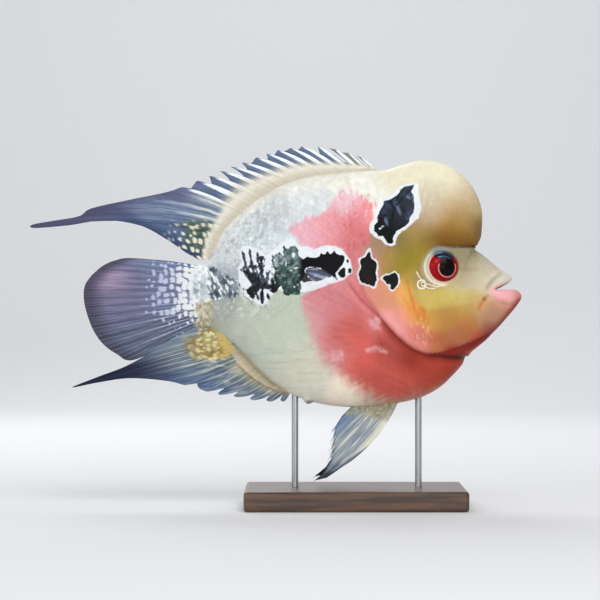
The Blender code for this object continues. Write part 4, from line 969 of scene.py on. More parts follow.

# %% [markdown]
# ## The skin's finish
# Wet fish skin is a soft satin with a thin clear coat. The colour comes from the stored zones. The shader
# cuts the stored depths with a little noise, which gives sharp black markings with pale halos, and reddish
# brown painted shade in the creases. A fine bump stands for pores and for the small scales of the head.


# %% Finish of flesh
CURL_ARCS = [((38.8, 133.2), 2.5, 15, 35, 0.0), ((39.6, 133.4), 1.2, 190, 50, 0.1)]
CURL_LINES = [(41.2, 131.9, 42.8, 130.9), (42.8, 130.9, 46.6, 130.8), (41.6, 133.6, 44.8, 132.6),
              (44.8, 132.6, 47.6, 131.7), (47.6, 131.7, 51.6, 133.0), (35.8, 140.6, 36.8, 138.4),
              (36.8, 138.4, 38.4, 136.4)]


def curl_share(made):
    """The white curl under the eye: the nearest of its arcs and lines, cut at about a quarter of a
    millimetre. The shader measures it, because it is finer than the points of the skin."""
    where = made.place((1000.0, 0.0, 1000.0))
    gaps = [made.sum(made.arc_gap(where, centre, radius, opening, width), thin)
            for centre, radius, opening, width, thin in CURL_ARCS]
    gaps += [made.sum(made.segment_gap(where, line[:2], line[2:]), 0.16) for line in CURL_LINES]
    nearest = gaps[0]
    for gap in gaps[1:]:
        nearest = made.sum(nearest, gap, "MINIMUM")
    return made.step(nearest, 0.30, 0.62, 0.92, 0.0)


def flesh_finish(name, rough, bump_size, bump_height, curl=False):
    """The shared finish of skin and scales; only roughness, bump and the curl under the eye differ."""
    made = Finish(name)
    place = made.place()
    wobble = made.sum(made.sum(made.noise(place, 900.0, 3.0), 0.5, "SUBTRACT"), 0.9, "MULTIPLY")
    mark = made.sum(made.attribute("mark"), wobble)
    halo = made.sum(made.attribute("halo"), wobble)
    crease_shade = made.sum(made.attribute("crease_shade"), wobble)
    colour = made.attribute("tint", colour=True)
    if curl:
        colour = made.mix(curl_share(made), colour, tuple(linear(242, 238, 224)))
    pale = made.mix(made.noise(place, 420.0, 3.0), tuple(linear(206, 216, 226)), tuple(linear(250, 251, 250)))
    colour = made.mix(made.step(halo, -0.35, 0.55, 0.0, 0.92), colour, pale)
    # Painted shade in the creases, reddish brown.
    colour = made.mix(made.step(crease_shade, -0.45, 0.25, 0.0, 0.65), colour, tuple(linear(84, 26, 18)))
    colour = made.mix(made.step(mark, -0.22, 0.22), colour, made.attribute("ink", colour=True))
    made.put(made.shader, "Base Color", colour)
    uneven = made.noise(place, 420.0, 2.0)
    made.put(made.shader, "Roughness", made.step(uneven, 0.2, 0.8, rough - 0.06, rough + 0.08))
    made.put(made.shader, "Specular IOR Level", 0.12)
    made.put(made.shader, "Coat Weight", 0.06)
    made.put(made.shader, "Coat Roughness", 0.2)
    made.bump(made.noise(place, bump_size, 4.0), bump_height, 0.35)
    return made.material


skin.data.materials.append(flesh_finish("fish_skin", 0.42, 850.0, 0.0004, curl=True))
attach(skin, "root")
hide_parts("head", "nuchal_hump", "upper_jaw", "lower_jaw", "gill_cover_right", "gill_cover_left",
            "torso", "tail_stalk")
print("skin dressed")

# %% [markdown]
# ## Scales
# A cichlid's flank carries about thirty scales from the gill to the tail. Each is a thin plate whose root
# lies under the plate before it and whose free edge looks back. Plates stand in columns across the body,
# and every other column is moved by half a row, like roof tiles. All plates of a flank are one array: a
# small grid for the plate, carried to its place on the body, with its rim let down into the skin.

# %% Scale plates
SCALE_ROWS = 38
PLATE_LONG, PLATE_ACROSS = 6, 7
SCALE_END = 8.9
OVERLAP = 2.0

plate_p, plate_q = np.meshgrid(np.linspace(0, 1, PLATE_LONG), np.linspace(-1, 1, PLATE_ACROSS), indexing="ij")


def rim_order(rows, columns):
    """Point numbers round the border of a grid, in one turn."""
    first, last = np.arange(columns), np.arange(columns) + (rows - 1) * columns
    sides = np.arange(1, rows - 1) * columns
    return np.concatenate([first, sides + columns - 1, last[::-1], sides[::-1]])


def scale_columns():
    """Stations of the columns and their spacing: 1.7 mm at the tail and 2.6 mm at the middle of the flank."""
    fine = np.linspace(0.05, SCALE_END, 900)
    line = spline(RIBS, fine)[:, 2]
    size = np.interp(line[1:], [-88, -40, 20], [1.7, 2.5, 2.6])
    run = np.concatenate([[0], np.cumsum(np.diff(line) / size)])
    at = np.arange(1, int(run[-1]))
    return np.interp(at, run, fine), np.interp(at, run, np.gradient(fine) / np.gradient(run))


columns, column_step = scale_columns()
row_angles = even_angles(columns, SCALE_ROWS * 8)[:, :SCALE_ROWS * 4 + 1]
at_row = np.arange(SCALE_ROWS - 1)[None, :] * 4 + 2 + 2 * (np.arange(len(columns)) % 2)[:, None]
centre_angle = np.take_along_axis(row_angles, at_row, axis=1)
half_angle = (np.take_along_axis(row_angles, np.minimum(at_row + 2, SCALE_ROWS * 4), axis=1)
              - np.take_along_axis(row_angles, np.maximum(at_row - 2, 0), axis=1)) / 2
centre_station = np.repeat(columns[:, None], SCALE_ROWS - 1, axis=1)
station_step = np.repeat(column_step[:, None], SCALE_ROWS - 1, axis=1)
at = body_points(centre_station, centre_angle)
clear_of_head = patch_depth(at[..., 0], at[..., 2], COVER_OUTLINE + [(14.0, 158.0)]) < -1.2
clear_of_hump = patch_depth(at[..., 0], at[..., 2],
                            [(8, 152), (12, 170), (17, 190), (20, 215), (120, 215), (120, 120)]) < -1.0
keep = clear_of_head & clear_of_hump & (centre_angle > 0.14) & (centre_angle < 3.0)
print("columns:", len(columns), "scales on a flank:", int(keep.sum()))


def edge_sheen_share(x, z):
    """How strongly the painted sheen lights the free edges: a little on the upper flank, hardly on the belly
    and the red.
    """
    high = ease(110, 150, z) * (0.22 - 0.12 * ease(-40, 10, x)) * (1 - 0.9 * ease(2, 14, x))
    red = ease(-2, 2, patch_depth(x, z, SALMON_FLANK))
    pink = ease(-2, 2, patch_depth(x, z, PINK_PATCH))
    return np.clip(0.05 + high - 0.04 * red - 0.12 * pink, 0.02, 0.5)


def scale_height(x, z):
    """How far the plates stand off: most at the tail, half on the flank, little on the smooth belly."""
    upper = ease(112, 150, z) * 0.30 + 0.35
    crest = ease(207, 190, z + 0.12 * np.abs(x))
    front = 1 - 0.75 * ease(4, 18, x) * ease(150, 175, z)
    return np.maximum(upper, 0.8 * ease(-50, -75, x)) * (0.35 + 0.65 * crest) * front


def scale_coat(name, side):
    """The plates of one flank. A plate runs from its root towards the tail; its free edge is a parabola,
    its middle is domed and its edge lifts off the skin; a last ring of points goes down into the skin."""
    picks = np.flatnonzero(keep.ravel())
    count = len(picks)
    per = PLATE_LONG * PLATE_ACROSS
    jitter = np.random.default_rng(5 if side < 0 else 6).normal(0, 1, (count, 4))
    pick = lambda values: values.ravel()[picks, None, None]
    reach = pick(station_step) * OVERLAP * (1 + 0.06 * jitter[:, 0, None, None])
    bow = 1 - 0.42 * plate_q ** 2
    station = pick(centre_station) + reach * (0.45 - plate_p * bow - 0.28 * (1 - bow))
    angle = pick(centre_angle) + pick(half_angle) * 1.16 * plate_q * (0.86 + 0.14 * np.sin(math.pi * plate_p))
    station, angle = np.clip(station, 0.02, 23.9), np.clip(angle, 0.02, math.pi - 0.02)
    root = at.reshape(-1, 3)[picks]
    height = scale_height(root[:, 0], root[:, 2])[:, None, None] * (1 + 0.15 * jitter[:, 1, None, None])
    dome = (1 - plate_q ** 2) * np.sin(math.pi * plate_p)
    lift = 0.02 + height * (0.15 * plate_p ** 1.5 * bow + 0.04 * dome)
    turn = angle if side < 0 else 2 * math.pi - angle
    top = skin_points(station, turn, lift)
    order = rim_order(PLATE_LONG, PLATE_ACROSS)
    rim = skin_points(station.reshape(count, per)[:, order], turn.reshape(count, per)[:, order], -0.10)
    points = np.concatenate([top.reshape(count, per, 3), rim], axis=1)
    ring = np.arange(len(order))
    after = (ring + 1) % len(order)
    skirt = np.stack([order, per + ring, per + after, order[after]], axis=1)
    faces = np.concatenate([grid_faces(PLATE_LONG, PLATE_ACROSS), skirt])
    stride = points.shape[1]
    faces = (faces[None] + stride * np.arange(count)[:, None, None]).reshape(-1, 4)
    points = points.reshape(-1, 3)
    coat = make_piece(name, points, faces, flip=side > 0)
    ends = np.empty(len(coat.data.edges) * 2, np.int32)
    coat.data.edges.foreach_get("vertices", ends)
    on_border = np.isin(np.arange(stride), order)
    crisp = on_border[ends % stride].reshape(-1, 2).all(axis=1)
    coat.data.attributes.new("sharp_edge", "BOOLEAN", "EDGE").data.foreach_set("value", crisp)

    x, z = points[:, 0], points[:, 2]
    whole = np.concatenate([np.arange(per), order])
    p_all, q_all = np.tile(plate_p.ravel()[whole], count), np.tile(plate_q.ravel()[whole], count)
    shade = np.repeat(jitter[:, 2], stride)
    tint = paint(x, z)
    # Painted sheen: each plate's free edge is lightened towards white, most on the upper flank.
    edge_sheen = edge_sheen_share(x, z) * ease(0.50, 1.0, p_all * (1 - 0.3 * q_all ** 2) + 0.14 * shade)
    tint = mix(tint, tone(248, 251, 253), np.clip(edge_sheen, 0, 0.9))
    contrast = np.repeat(height.ravel(), stride)
    # Painted shade: each plate is darker towards its root, which lies under the plate before it, and a little
    # at its sides.
    dark = 0.05 * ease(0.55, 0.0, p_all) + 0.02 * np.abs(q_all) ** 3
    plain = ease(130.0, 150.0, z) * ease(3.0, -3.0, patch_depth(x, z, PINK_PATCH))
    tint = tint * (1 - contrast * dark + 0.018 * shade * contrast * plain)[:, None]
    dress(coat, x, z, np.clip(tint, 0, 1))
    layer = coat.data.uv_layers.new(name="OFBake")
    root_u = np.repeat(centre_station.ravel()[picks] / 24.0, stride)
    root_turn = centre_angle.ravel()[picks]
    root_v = np.repeat((root_turn if side < 0 else 2 * math.pi - root_turn)
                       / (2 * math.pi), stride)
    patch = np.stack([root_u + 0.003 * (p_all - 0.5), root_v + 0.0015 * q_all], axis=1)
    corner = np.empty(len(coat.data.loops), np.int32)
    coat.data.loops.foreach_get("vertex_index", corner)
    layer.data.foreach_set("uv", patch[corner].astype(np.float32).ravel())
    return coat


scale_finish = flesh_finish("fish_scales", 0.36, 1400.0, 0.0002)
for side, word in ((-1, "right"), (1, "left")):
    coat = scale_coat("scales_" + word, side)
    coat.data.materials.append(scale_finish)
    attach(coat, "root")
    print(coat.name, len(coat.data.polygons) * 2, "triangles")

# %% [markdown]
# ## Fins
# A fin is a web of skin between bony rays. Here it is one sheet over the line of the ray roots and the line
# of the ray tips. The rays are ridges of that sheet, the web between them is thin, and at the margin it is
# drawn in so that the spines stand free. Soft rays branch towards the margin: their ridge splits in two and
# then in four. The roots reach a little into the body, as a real fin's do.


# %% Fin surface
def along_line(line, start, end, count):
    """Points at even steps of length along a line, between the places nearest to start and end."""
    fine = spline(np.asarray(line, float), np.linspace(0, len(line) - 1, 40 * len(line)))
    first = int(np.argmin(np.linalg.norm(fine - start, axis=1)))
    last = int(np.argmin(np.linalg.norm(fine - end, axis=1)))
    run = fine[first:last + 1] if last > first else fine[last:first + 1][::-1]
    length = np.concatenate([[0], np.cumsum(np.linalg.norm(np.diff(run, axis=0), axis=1))])
    at = np.linspace(0, length[-1], count)
    return np.stack([np.interp(at, length, run[:, 0]), np.interp(at, length, run[:, 1])], axis=1)


def on_line(line, along_x):
    """Points of a line at given x."""
    fine = spline(line, np.linspace(0, len(line) - 1, 600))
    return np.stack([along_x, np.interp(along_x, fine[:, 0], fine[:, 1])], axis=1)


def sunk(points, way):
    """Root points moved into the body, towards the middle of the fish."""
    inward = np.array([-20.0, 130.0]) - points
    return points + way * inward / np.linalg.norm(inward, axis=1)[:, None]


BLADE_WIDE = 0.20


def ray_parts(uu, vv, spines):
    """Where the hard spines and the branched soft rays run: two ridges from 0 to 1, and the hard share.
    A spine is a slender blade that starts on its own line and swells behind it, pointed at its tip."""
    off = np.abs(uu - np.round(uu))
    hard = ease(spines - 0.4, spines - 0.9, uu) if spines else np.zeros(np.shape(uu))
    wide = BLADE_WIDE * np.interp(uu, [6, 10], [1.0, 0.8])
    half = 0.03 + wide * np.sin(math.pi * np.clip((vv - 0.02) / 0.98, 0, 1) ** 0.9)
    behind = (uu + 0.4) % 1.0 - 0.4 - half
    ridge_hard = np.sqrt(np.clip(1 - (behind / (half + 0.03)) ** 2, 0, 1)) * ease(1.0, 0.98, vv)
    spread = 0.20 * ease(0.25, 0.7, vv) + 0.13 * ease(0.65, 1.0, vv)
    inner = 0.10 * ease(0.55, 0.95, vv)
    branch = np.minimum(np.abs(off - spread), np.abs(off - inner))
    ridge_soft = np.exp(-(branch / 0.085) ** 2)
    return hard, ridge_hard, ridge_soft


def fin_surface(name, roots, tips, bows, depth, spines, sizes, colour, notches, between=14, rows=84,
                smooth=None):
    """Root + way x (tip - root) + a bow square to it, thick by sizes: root, spine, ray and web.

    roots and tips have one row for each ray; depth(x, z, way, u) gives y; notches has the depth of the
    gap after each ray, as a share of the ray; colour(u, v, x, z, hard, spine, ray, reach) gives screen
    colours and opacity, with the reach in millimetres from the root. From the ray numbered smooth the
    margin is one curve through the tips, and before it a straight line from tip to tip. The two faces are
    the sheet moved by half its thickness, joined at the rim.
    """
    roots, tips, bows = np.asarray(roots, float), np.asarray(tips, float), np.asarray(bows, float)
    rays = len(roots)
    u = np.linspace(0, rays - 1, (rays - 1) * between + 1)
    v = np.linspace(0, 1, rows) ** 1.1
    low = np.clip(np.floor(u).astype(int), 0, rays - 2)
    part = (u - low)[:, None]
    root = roots[low] * (1 - part) + roots[low + 1] * part
    tip = tips[low] * (1 - part) + tips[low + 1] * part
    if smooth is not None:
        curved = ease(smooth - 1.0, smooth - 0.5, u)[:, None]
        tip = tip * (1 - curved) + spline(tips, u) * curved
    bow = (bows[low] * (1 - part[:, 0]) + bows[low + 1] * part[:, 0])[:, None]
    notch = np.asarray(notches, float)[low][:, None]
    deep = np.clip((notch - 0.45) / 0.15, 0, 1) * (sizes["round"] == 1)
    fall = np.clip((part - 0.05 - 0.42 * deep) / (0.87 - 0.75 * deep), 0, 1) ** sizes["round"]
    way = v[None, :] * (1 - notch * fall * ease(1.0, 0.95, part))
    run = tip - root
    square = np.stack([run[:, 1], -run[:, 0]], axis=1)
    square = square / np.maximum(np.linalg.norm(run, axis=1), 1e-6)[:, None]
    curve = 4 * way * (1 - way) * bow
    x = root[:, :1] + way * run[:, :1] + curve * square[:, :1]
    z = root[:, 1:] + way * run[:, 1:] + curve * square[:, 1:]
    uu = np.repeat(u[:, None], rows, axis=1)
    vv = way
    hard, spine, ray = ray_parts(uu, vv, spines)
    ridge = hard * spine * sizes["spine"] + (1 - hard) * ray * sizes["ray"]
    thick = (sizes["web"] + ridge * (1 - 0.6 * vv)
             + sizes["root"] * np.clip(1 - vv / sizes["root_way"], 0, 1) ** 1.6)
    rim = np.minimum(1 - v[None, :], np.minimum(uu, rays - 1 - uu) * 0.5)
    thick = np.where(rim < 0.02, np.minimum(thick, 0.6 * sizes["web"]), thick)
    y = depth(x, z, way, uu) + sizes["wave"] * np.sin(uu * 2.1) * ease(0.1, 1.0, vv)
    front = np.stack([x, y - thick / 2, z], axis=-1).reshape(-1, 3)
    back = np.stack([x, y + thick / 2, z], axis=-1).reshape(-1, 3)
    count = len(front)
    face = grid_faces(len(u), rows)
    edge = rim_order(len(u), rows)
    after = np.roll(edge, -1)
    rim_faces = np.stack([edge, after, after + count, edge + count], axis=1)
    points = np.vstack([front, back])
    faces = np.vstack([face[:, ::-1], face + count, rim_faces])
    made = make_piece(name, points, faces)
    a, b, c, d = (points[faces[:, corner]] for corner in range(4))
    if np.sum(a * np.cross(b, c)) + np.sum(a * np.cross(c, d)) < 0:
        made.data.flip_normals()
    reach = way * np.linalg.norm(run, axis=1)[:, None]
    tint, clear = colour(uu, vv, x, z, hard, spine, ray, reach)
    both = lambda values: np.concatenate([values.reshape(len(u) * rows, -1)] * 2)
    store(made, "tint", to_linear(np.clip(both(tint), 0, 1)))
    store(made, "clear", both(clear).ravel())
    print(name, len(points), "points,", 2 * len(faces), "triangles")
    return made


def fin_finish(name, see_through):
    """Satin web with a fine grain; a clear fin also takes its opacity from the rays."""
    made = Finish(name)
    place = made.place()
    colour = made.attribute("tint", colour=True)
    speck = made.step(made.noise(place, 1100.0, 2.0), 0.35, 0.75, 0.0, 0.22)
    colour = made.mix(speck, colour, made.mix(1.0, colour, (0.55, 0.55, 0.6), "MULTIPLY"))
    made.put(made.shader, "Base Color", colour)
    made.put(made.shader, "Roughness", 0.4)
    made.put(made.shader, "Specular IOR Level", 0.22)
    made.put(made.shader, "Coat Weight", 0.1)
    made.put(made.shader, "Coat Roughness", 0.2)
    if see_through:
        made.put(made.shader, "Alpha", made.attribute("clear"))
    made.bump(made.noise(place, 1300.0, 3.0), 0.0002, 0.25)
    return made.material


def place_fin(fin, finish, node):
    """Give a fin its material and its body, and hide the solid that it stands for."""
    fin.data.materials.append(finish)
    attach(fin, "root")
    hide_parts(node)


SQUARISH = 2.7


def cells(p, q, layer=0, loose=0.20):
    """Distance to the nearest of the points that stand about one to each cell of a lattice, each moved
    a little at random: small inside a spot, large in the net between the spots. The distance is the root
    of the summed powers, between a circle and a square."""
    nearest = np.full(np.shape(p), 9.0)
    column, row = np.floor(p).astype(int), np.floor(q).astype(int)
    for right in (-1, 0, 1):
        for up in (-1, 0, 1):
            i, j = (column + right) % 128, (row + up) % 128
            move_p, move_q = loose * LATTICE[layer, j, i], loose * LATTICE[layer + 1, j, i]
            off_p, off_q = column + right + 0.5 + move_p - p, row + up + 0.5 + move_q - q
            gap = (np.abs(off_p) ** SQUARISH + np.abs(off_q) ** SQUARISH) ** (1 / SQUARISH)
            nearest = np.minimum(nearest, gap)
    return nearest


def lines(u, v, x, z, share, layer):
    """Broken fine lines along the rays: a cosine of the ray number times noise along the ray."""
    comb = 0.5 + 0.5 * np.cos(2 * math.pi * share * u + 0.6 * ripple(x, z, 9.0, 9.0, layer))
    return comb ** 2 * (0.55 + 0.45 * ripple(x * 0.4, z * 1.6, 3.0, 3.0, layer, 2))


web_finish = fin_finish("fin_web_skin", False)
clear_finish = fin_finish("fin_clear_skin", True)
SINK = 2.2
back_line = RIBS[:13, 0:2]
belly_line = RIBS[:13, 4:6]
print("fin finishes ready")

# %% [markdown]
# ### Dorsal fin
# Fifteen spines come first, slender white blades with slate web between them. The first ones are almost
# free. Behind each tip the margin slopes down to the next blade, so that it has teeth like a saw. Soft rays
# follow and run out into a long trailing point. A cream band of small scales covers the roots. Where the
# soft part meets the tail, a dark green net leaves rows of cream spots.

# %% Dorsal fin
DORSAL_SPINES = [(4.2, 209.4), (-3.6, 212.2), (-11.0, 214.3), (-21.6, 216.2), (-31.8, 216.1), (-38.4, 215.2),
                 (-46.2, 214.0), (-52.8, 211.8), (-59.1, 209.5), (-67.6, 206.5), (-74.4, 204.0),
                 (-80.6, 201.4), (-87.0, 198.4), (-94.5, 195.6), (-103.8, 191.8)]
DORSAL_RAYS = [(-114.0, 188.5, 1.2), (-135.0, 184.2, 3.6), (-158.0, 179.0, 5.4), (-167.0, 173.9, 6.2),
               (-192.2, 169.6, 5.6), (-192.2, 167.2, 5.8), (-172.0, 168.8, 7.4), (-150.0, 171.8, 5.6),
               (-129.0, 168.7, 3.0), (-113.4, 160.6, 1.2), (-101.4, 152.4, 0.0), (-93.0, 147.8, 0.0)]
DORSAL_NOTCHES = ([0.74, 0.14, 0.62, 0.34, 0.12, 0.10, 0.12, 0.20, 0.14, 0.27, 0.40, 0.34, 0.22, 0.12]
                  + [0.0] * 12)
DORSAL_ROOT_X = [16.0, 11.0, 6.0, 0.5, -5.0, -11.0, -17.5, -24.0, -30.5, -37.0, -43.5, -50.0, -56.5, -62.5,
                 -68.5]
DORSAL_BOWS = [0.6, 0.8, 1.0, 1.6] + [2.3] * 11
SPOT_ROWS = (168.0, 4.75)
SPOT_COLUMNS = (-88.5, 4.0)


def dorsal_colour(u, v, x, z, hard, spine, ray, reach):
    """Cream sheath, white blades and slate web, then slate violet rays with spots at the rear root."""
    grain = ripple(x, z, 1.4, 1.4, 6, 2)
    strand = ripple(u * 7, reach, 1.0, 6.0, 2, 2)
    wide = np.interp(u, [0, 2, 4, 7, 12, 15, 18, 26], [3.5, 4.5, 7.5, 10.5, 11.5, 9.0, 6.5, 5.0])
    outward = (reach - SINK) / wide
    web = mix(tone(78, 94, 124), tone(106, 124, 152), 0.5 + 0.6 * strand)
    # Painted shade: the web darkens next to each blade, on the spines' shaded side.
    web = mix(web, tone(66, 80, 112), 0.55 * ease(0.55, 0.95, u - np.floor(u)))
    web = mix(web, tone(134, 136, 120), 0.85 * ease(3.0, 1.8, u))
    web = mix(web, tone(166, 168, 158), 0.7 * ease(1.7, 1.1, outward))
    web = mix(web, tone(104, 96, 132), 0.6 * ease(0.75, 1.0, v) * ease(9.0, 13.0, u))
    bone = mix(tone(224, 221, 208), tone(242, 248, 250), ease(1.0, 1.7, outward))
    bone = mix(bone, tone(172, 186, 210), 0.55 * ease(0.6, 0.25, spine) * ease(2.0, 4.0, u))
    end = np.interp(u, [3, 6, 10, 14], [1.03, 1.01, 0.96, 0.93])
    fade = np.interp(u, [3, 9], [0.10, 0.14])
    first = mix(web, bone, ease(0.02, 0.35, spine) * ease(end, end - fade, v))

    back = mix(tone(76, 92, 122), tone(112, 130, 158), 0.5 + 0.6 * strand)
    back = mix(back, tone(70, 66, 94), 0.85 * ease(-116, -156, x))
    back = mix(back, tone(70, 64, 92), 0.45 * ease(17.6, 15.0, u) * ease(0.3, 0.8, v))
    pale = 0.35 * ease(0.35, 0.9, ray) + 0.4 * lines(u, v, x, z, 3.0, 4)
    band = ease(0.50, 0.92, 0.5 + 0.5 * np.cos(2 * math.pi * (u - 17.55) / 1.48) + 0.28 * strand)
    pale = pale + 0.9 * band * ease(13.8, 14.8, u) * ease(22.0, 20.4, u) * ease(64.0, 22.0, reach)
    cream = mix(tone(160, 170, 196), tone(228, 228, 214), ease(36.0, 17.0, reach))
    back = mix(back, cream, np.clip(pale, 0, 1) * ease(1.05, 0.55, v) * (0.88 - 0.5 * ease(-130, -165, x)))

    level = z + 0.08 * (x + 95.0) + 0.9 * ripple(x, z, 5.0, 5.0, 2)
    side = x + 0.25 * (z - 160.0) + 1.1 * ripple(x, z, 4.0, 4.0, 5)
    side = (side - SPOT_COLUMNS[0]) / SPOT_COLUMNS[1] + 0.5
    row = (level - SPOT_ROWS[0]) / SPOT_ROWS[1] + 0.5
    spot = cells(side + 0.5 * (np.floor(row) % 2), row, 4)
    low = ease(172.6, 169.8, level + 0.9 * grain)
    green = mix(tone(44, 66, 64), tone(92, 120, 106), 0.5 + 0.7 * ripple(x, z, 2.0, 2.0, 1, 2))
    back = mix(back, green, 0.92 * low * ease(-107.0, -99.0, x + 2.0 * grain))
    back = mix(back, tone(54, 74, 112), 0.55 * low * ease(-98.0, -106.0, x) * ease(-136.0, -112.0, x))
    back = mix(back, tone(38, 54, 94), 0.8 * ease(158.0, 150.0, z + 0.55 * (x + 95.0)) * ease(-160, -120, x))
    shown = ease(172.6, 170.4, level) * ease(-118.0, -108.0, x)
    fleck = mix(tone(206, 212, 216), tone(240, 230, 202), ease(-112.0, -102.0, x + 3.0 * grain))
    spot = spot + 0.05 * grain + 0.09 * ripple(x, z, 2.6, 2.6, 6)
    back = mix(back, fleck, 0.95 * shown * ease(0.36, 0.24, spot + 0.13 * ease(-99.0, -110.0, x)))

    tint = mix(back, first, hard)
    sheath = ease(1.35, 0.75, outward + 0.10 * grain - 0.10 * spine * hard)
    beige = mix(tone(206, 197, 176), tone(230, 225, 210), ease(0.1, 0.8, outward))
    beige = mix(beige, tone(192, 182, 158), 0.3 * ease(0.1, 0.6, strand) * ease(3.0, 9.0, u))
    return mix(tint, beige, 0.96 * sheath), np.ones(np.shape(u))


spine_roots = on_line(back_line, DORSAL_ROOT_X)
ray_roots = along_line(back_line, spine_roots[-1], (-87.6, 149.6), len(DORSAL_RAYS) + 1)[1:]
dorsal = fin_surface(
    "dorsal_fin_web", sunk(np.vstack([spine_roots, ray_roots]), SINK),
    DORSAL_SPINES + [ray[:2] for ray in DORSAL_RAYS], DORSAL_BOWS + [ray[2] for ray in DORSAL_RAYS],
    lambda x, z, way, u: 0.0 * x, len(DORSAL_SPINES),
    {"root": 5.4, "root_way": 0.40, "spine": 0.9, "ray": 0.35, "web": 0.42, "wave": 0.25, "round": 1},
    dorsal_colour,
    DORSAL_NOTCHES, between=18, rows=64, smooth=len(DORSAL_SPINES))
place_fin(dorsal, web_finish, "dorsal_fin")

# %% [markdown]
# ### Anal fin
# Seven spines whose web ends in leaf-like points, then soft rays that end in a dark trailing point. Its
# root at the tail is gold with a brown net. The lobe leans to the near side, so that it passes in front of
# the tail fin.

# %% Anal fin
ANAL_SPINES = [(-42.3, 63.1), (-50.0, 63.0), (-60.6, 63.8), (-70.2, 65.7), (-80.6, 67.0), (-88.6, 69.0),
               (-102.0, 73.0)]
ANAL_RAYS = [(-114.0, 75.7), (-135.0, 77.2), (-153.0, 74.8), (-169.2, 71.8), (-153.0, 78.4), (-138.0, 84.1),
             (-123.0, 92.2), (-108.6, 101.4), (-94.6, 108.4)]
ANAL_NOTCHES = [0.60, 0.46, 0.38, 0.32, 0.27, 0.15] + [0.0] * 9
ANAL_ROOT_X = [-39.0, -41.0, -44.5, -49.5, -54.5, -59.0, -63.5]
ANAL_BOWS = [-0.5, -1.0, -2.0, -2.8, -3.2, -3.2, -2.8, -2.2, -1.2, -0.4] + [0.0] * 6
GOLD_PATCH = [(-80, 108.5), (-86, 110), (-92, 107.5), (-94, 102), (-101, 101), (-101, 93), (-95, 88.5),
              (-88, 87.5), (-82, 89), (-76, 91), (-72.5, 95), (-75.5, 102)]


def anal_colour(u, v, x, z, hard, spine, ray, reach):
    """Slate web with pale streaks, navy towards the point, gold with a brown net at the rear root."""
    grain = ripple(x, z, 1.4, 1.4, 6, 2)
    strand = ripple(u * 6, reach, 1.0, 7.0, 2, 2)
    wide = np.interp(u, [0, 1, 2, 3, 5, 6, 9], [1.0, 1.5, 2.8, 4.6, 6.4, 7.2, 5.0])
    outward = (reach - SINK) / wide
    web = mix(tone(64, 82, 108), tone(112, 128, 142), 0.5 + 0.8 * strand)
    web = mix(web, tone(150, 150, 124), 0.75 * ease(2.4, 1.2, outward) * ease(7.5, 6.5, u))
    web = mix(web, tone(58, 82, 126), 0.75 * ease(4.0, 6.0, u) * ease(12.0, 9.5, u) * ease(0.5, 0.85, v))
    navy = ease(-94, -137, x + 0.8 * (z - 82.0))
    web = mix(web, tone(12, 20, 48), 0.95 * navy)
    web = mix(web, tone(112, 126, 138), 0.6 * ease(11.0, 13.0, u) * ease(-140, -115, x))
    double = np.exp(-((spine - 0.50) / 0.28) ** 2) + 0.5 * ease(0.1, 0.6, strand)
    rays = hard * double + (1 - hard) * (0.5 * ease(0.3, 0.9, ray) + 0.7 * lines(u, v, x, z, 2.0, 5))
    bone = mix(tone(222, 214, 192), tone(150, 170, 186), ease(0.35, 0.95, v))
    tint = mix(web, bone, np.clip(rays, 0, 1) * 0.8 * (1 - 0.9 * navy))
    tint = mix(tint, tone(140, 158, 172), 0.35 * ease(0.86, 1.0, v) * ease(7.5, 5.5, u))

    depth = patch_depth(x, z, GOLD_PATCH) + 3.2 * ripple(x, z, 3.6, 3.6, 1, 2)
    yellow = mix(tone(204, 188, 118), tone(234, 230, 178), 0.5 + 0.8 * ripple(x, z, 1.8, 1.3, 4, 2))
    yellow = mix(yellow, tone(206, 174, 92), 0.85 * ease(-84.5, -80.0, x + 1.5 * grain))
    bend_x, bend_z = 1.5 * ripple(x, z, 4, 4, 3), 1.5 * ripple(x, z, 4, 4, 6)
    knot = cells((x + bend_x + 0.3 * z) / 4.3, (z + bend_z - 0.18 * x) / 2.7, 5, 0.36)
    net = ease(0.26, 0.44, knot + 0.14 * ripple(x, z, 2.6, 2.6, 2)) * ease(-77, -84, x + 0.3 * (z - 97))
    brown = mix(tone(116, 86, 42), tone(164, 148, 100), 0.5 + 0.9 * ripple(x, z, 2.2, 2.2, 0, 2))
    gold = mix(yellow, brown, 0.74 * net)
    blotch = ease(-93.0, -97.0, x) * ease(-0.2, 0.35, ripple(x, z, 2.4, 3.4, 3, 2))
    gold = mix(gold, tone(122, 96, 56), 0.8 * blotch)
    tint = mix(tint, gold, 0.95 * ease(-2.6, 2.2, depth) * (1 - 0.35 * ease(-95.0, -101.0, x)))
    cream = ease(-0.4, 0.5, ripple(x * 0.3, z + 0.12 * x, 2.0, 1.1, 5))
    cream = cream * swell(x, z, (-82.0, 86.5), (12.0, 5.0), 1.0)
    tint = mix(tint, tone(238, 226, 198), 0.8 * cream)

    sheath = ease(1.10, 0.92, outward + 0.06 * grain) * ease(9.5, 6.5, u)
    beige = mix(tone(178, 168, 138), tone(200, 190, 166), ease(0.1, 0.9, outward + 0.2 * grain))
    beige = mix(beige, tone(214, 190, 164), 0.7 * ease(4.4, 5.6, u) * ease(0.4, 0.8, outward))
    tint = mix(tint, beige, 0.92 * sheath)
    seam = np.exp(-(((outward - 1.0) * wide + 0.4 * grain) / 0.55) ** 2) * ease(6.6, 5.6, u)
    fold = np.exp(-((reach - SINK - 0.9 + 0.3 * grain) / 0.5) ** 2) * ease(8.0, 7.0, u) * ease(1.5, 3.0, u)
    return mix(tint, tone(140, 114, 74), 0.75 * np.maximum(seam, 0.7 * fold)), np.ones(np.shape(u))


def anal_lean(x, z, way, u):
    """The lobe comes forward of the middle plane past the tail's root, more towards its tips."""
    return -5.0 * way * np.clip((-84.0 - x) / 85.0, 0, None) ** 0.8 - 1.0 * ease(-88.0, -98.0, x)


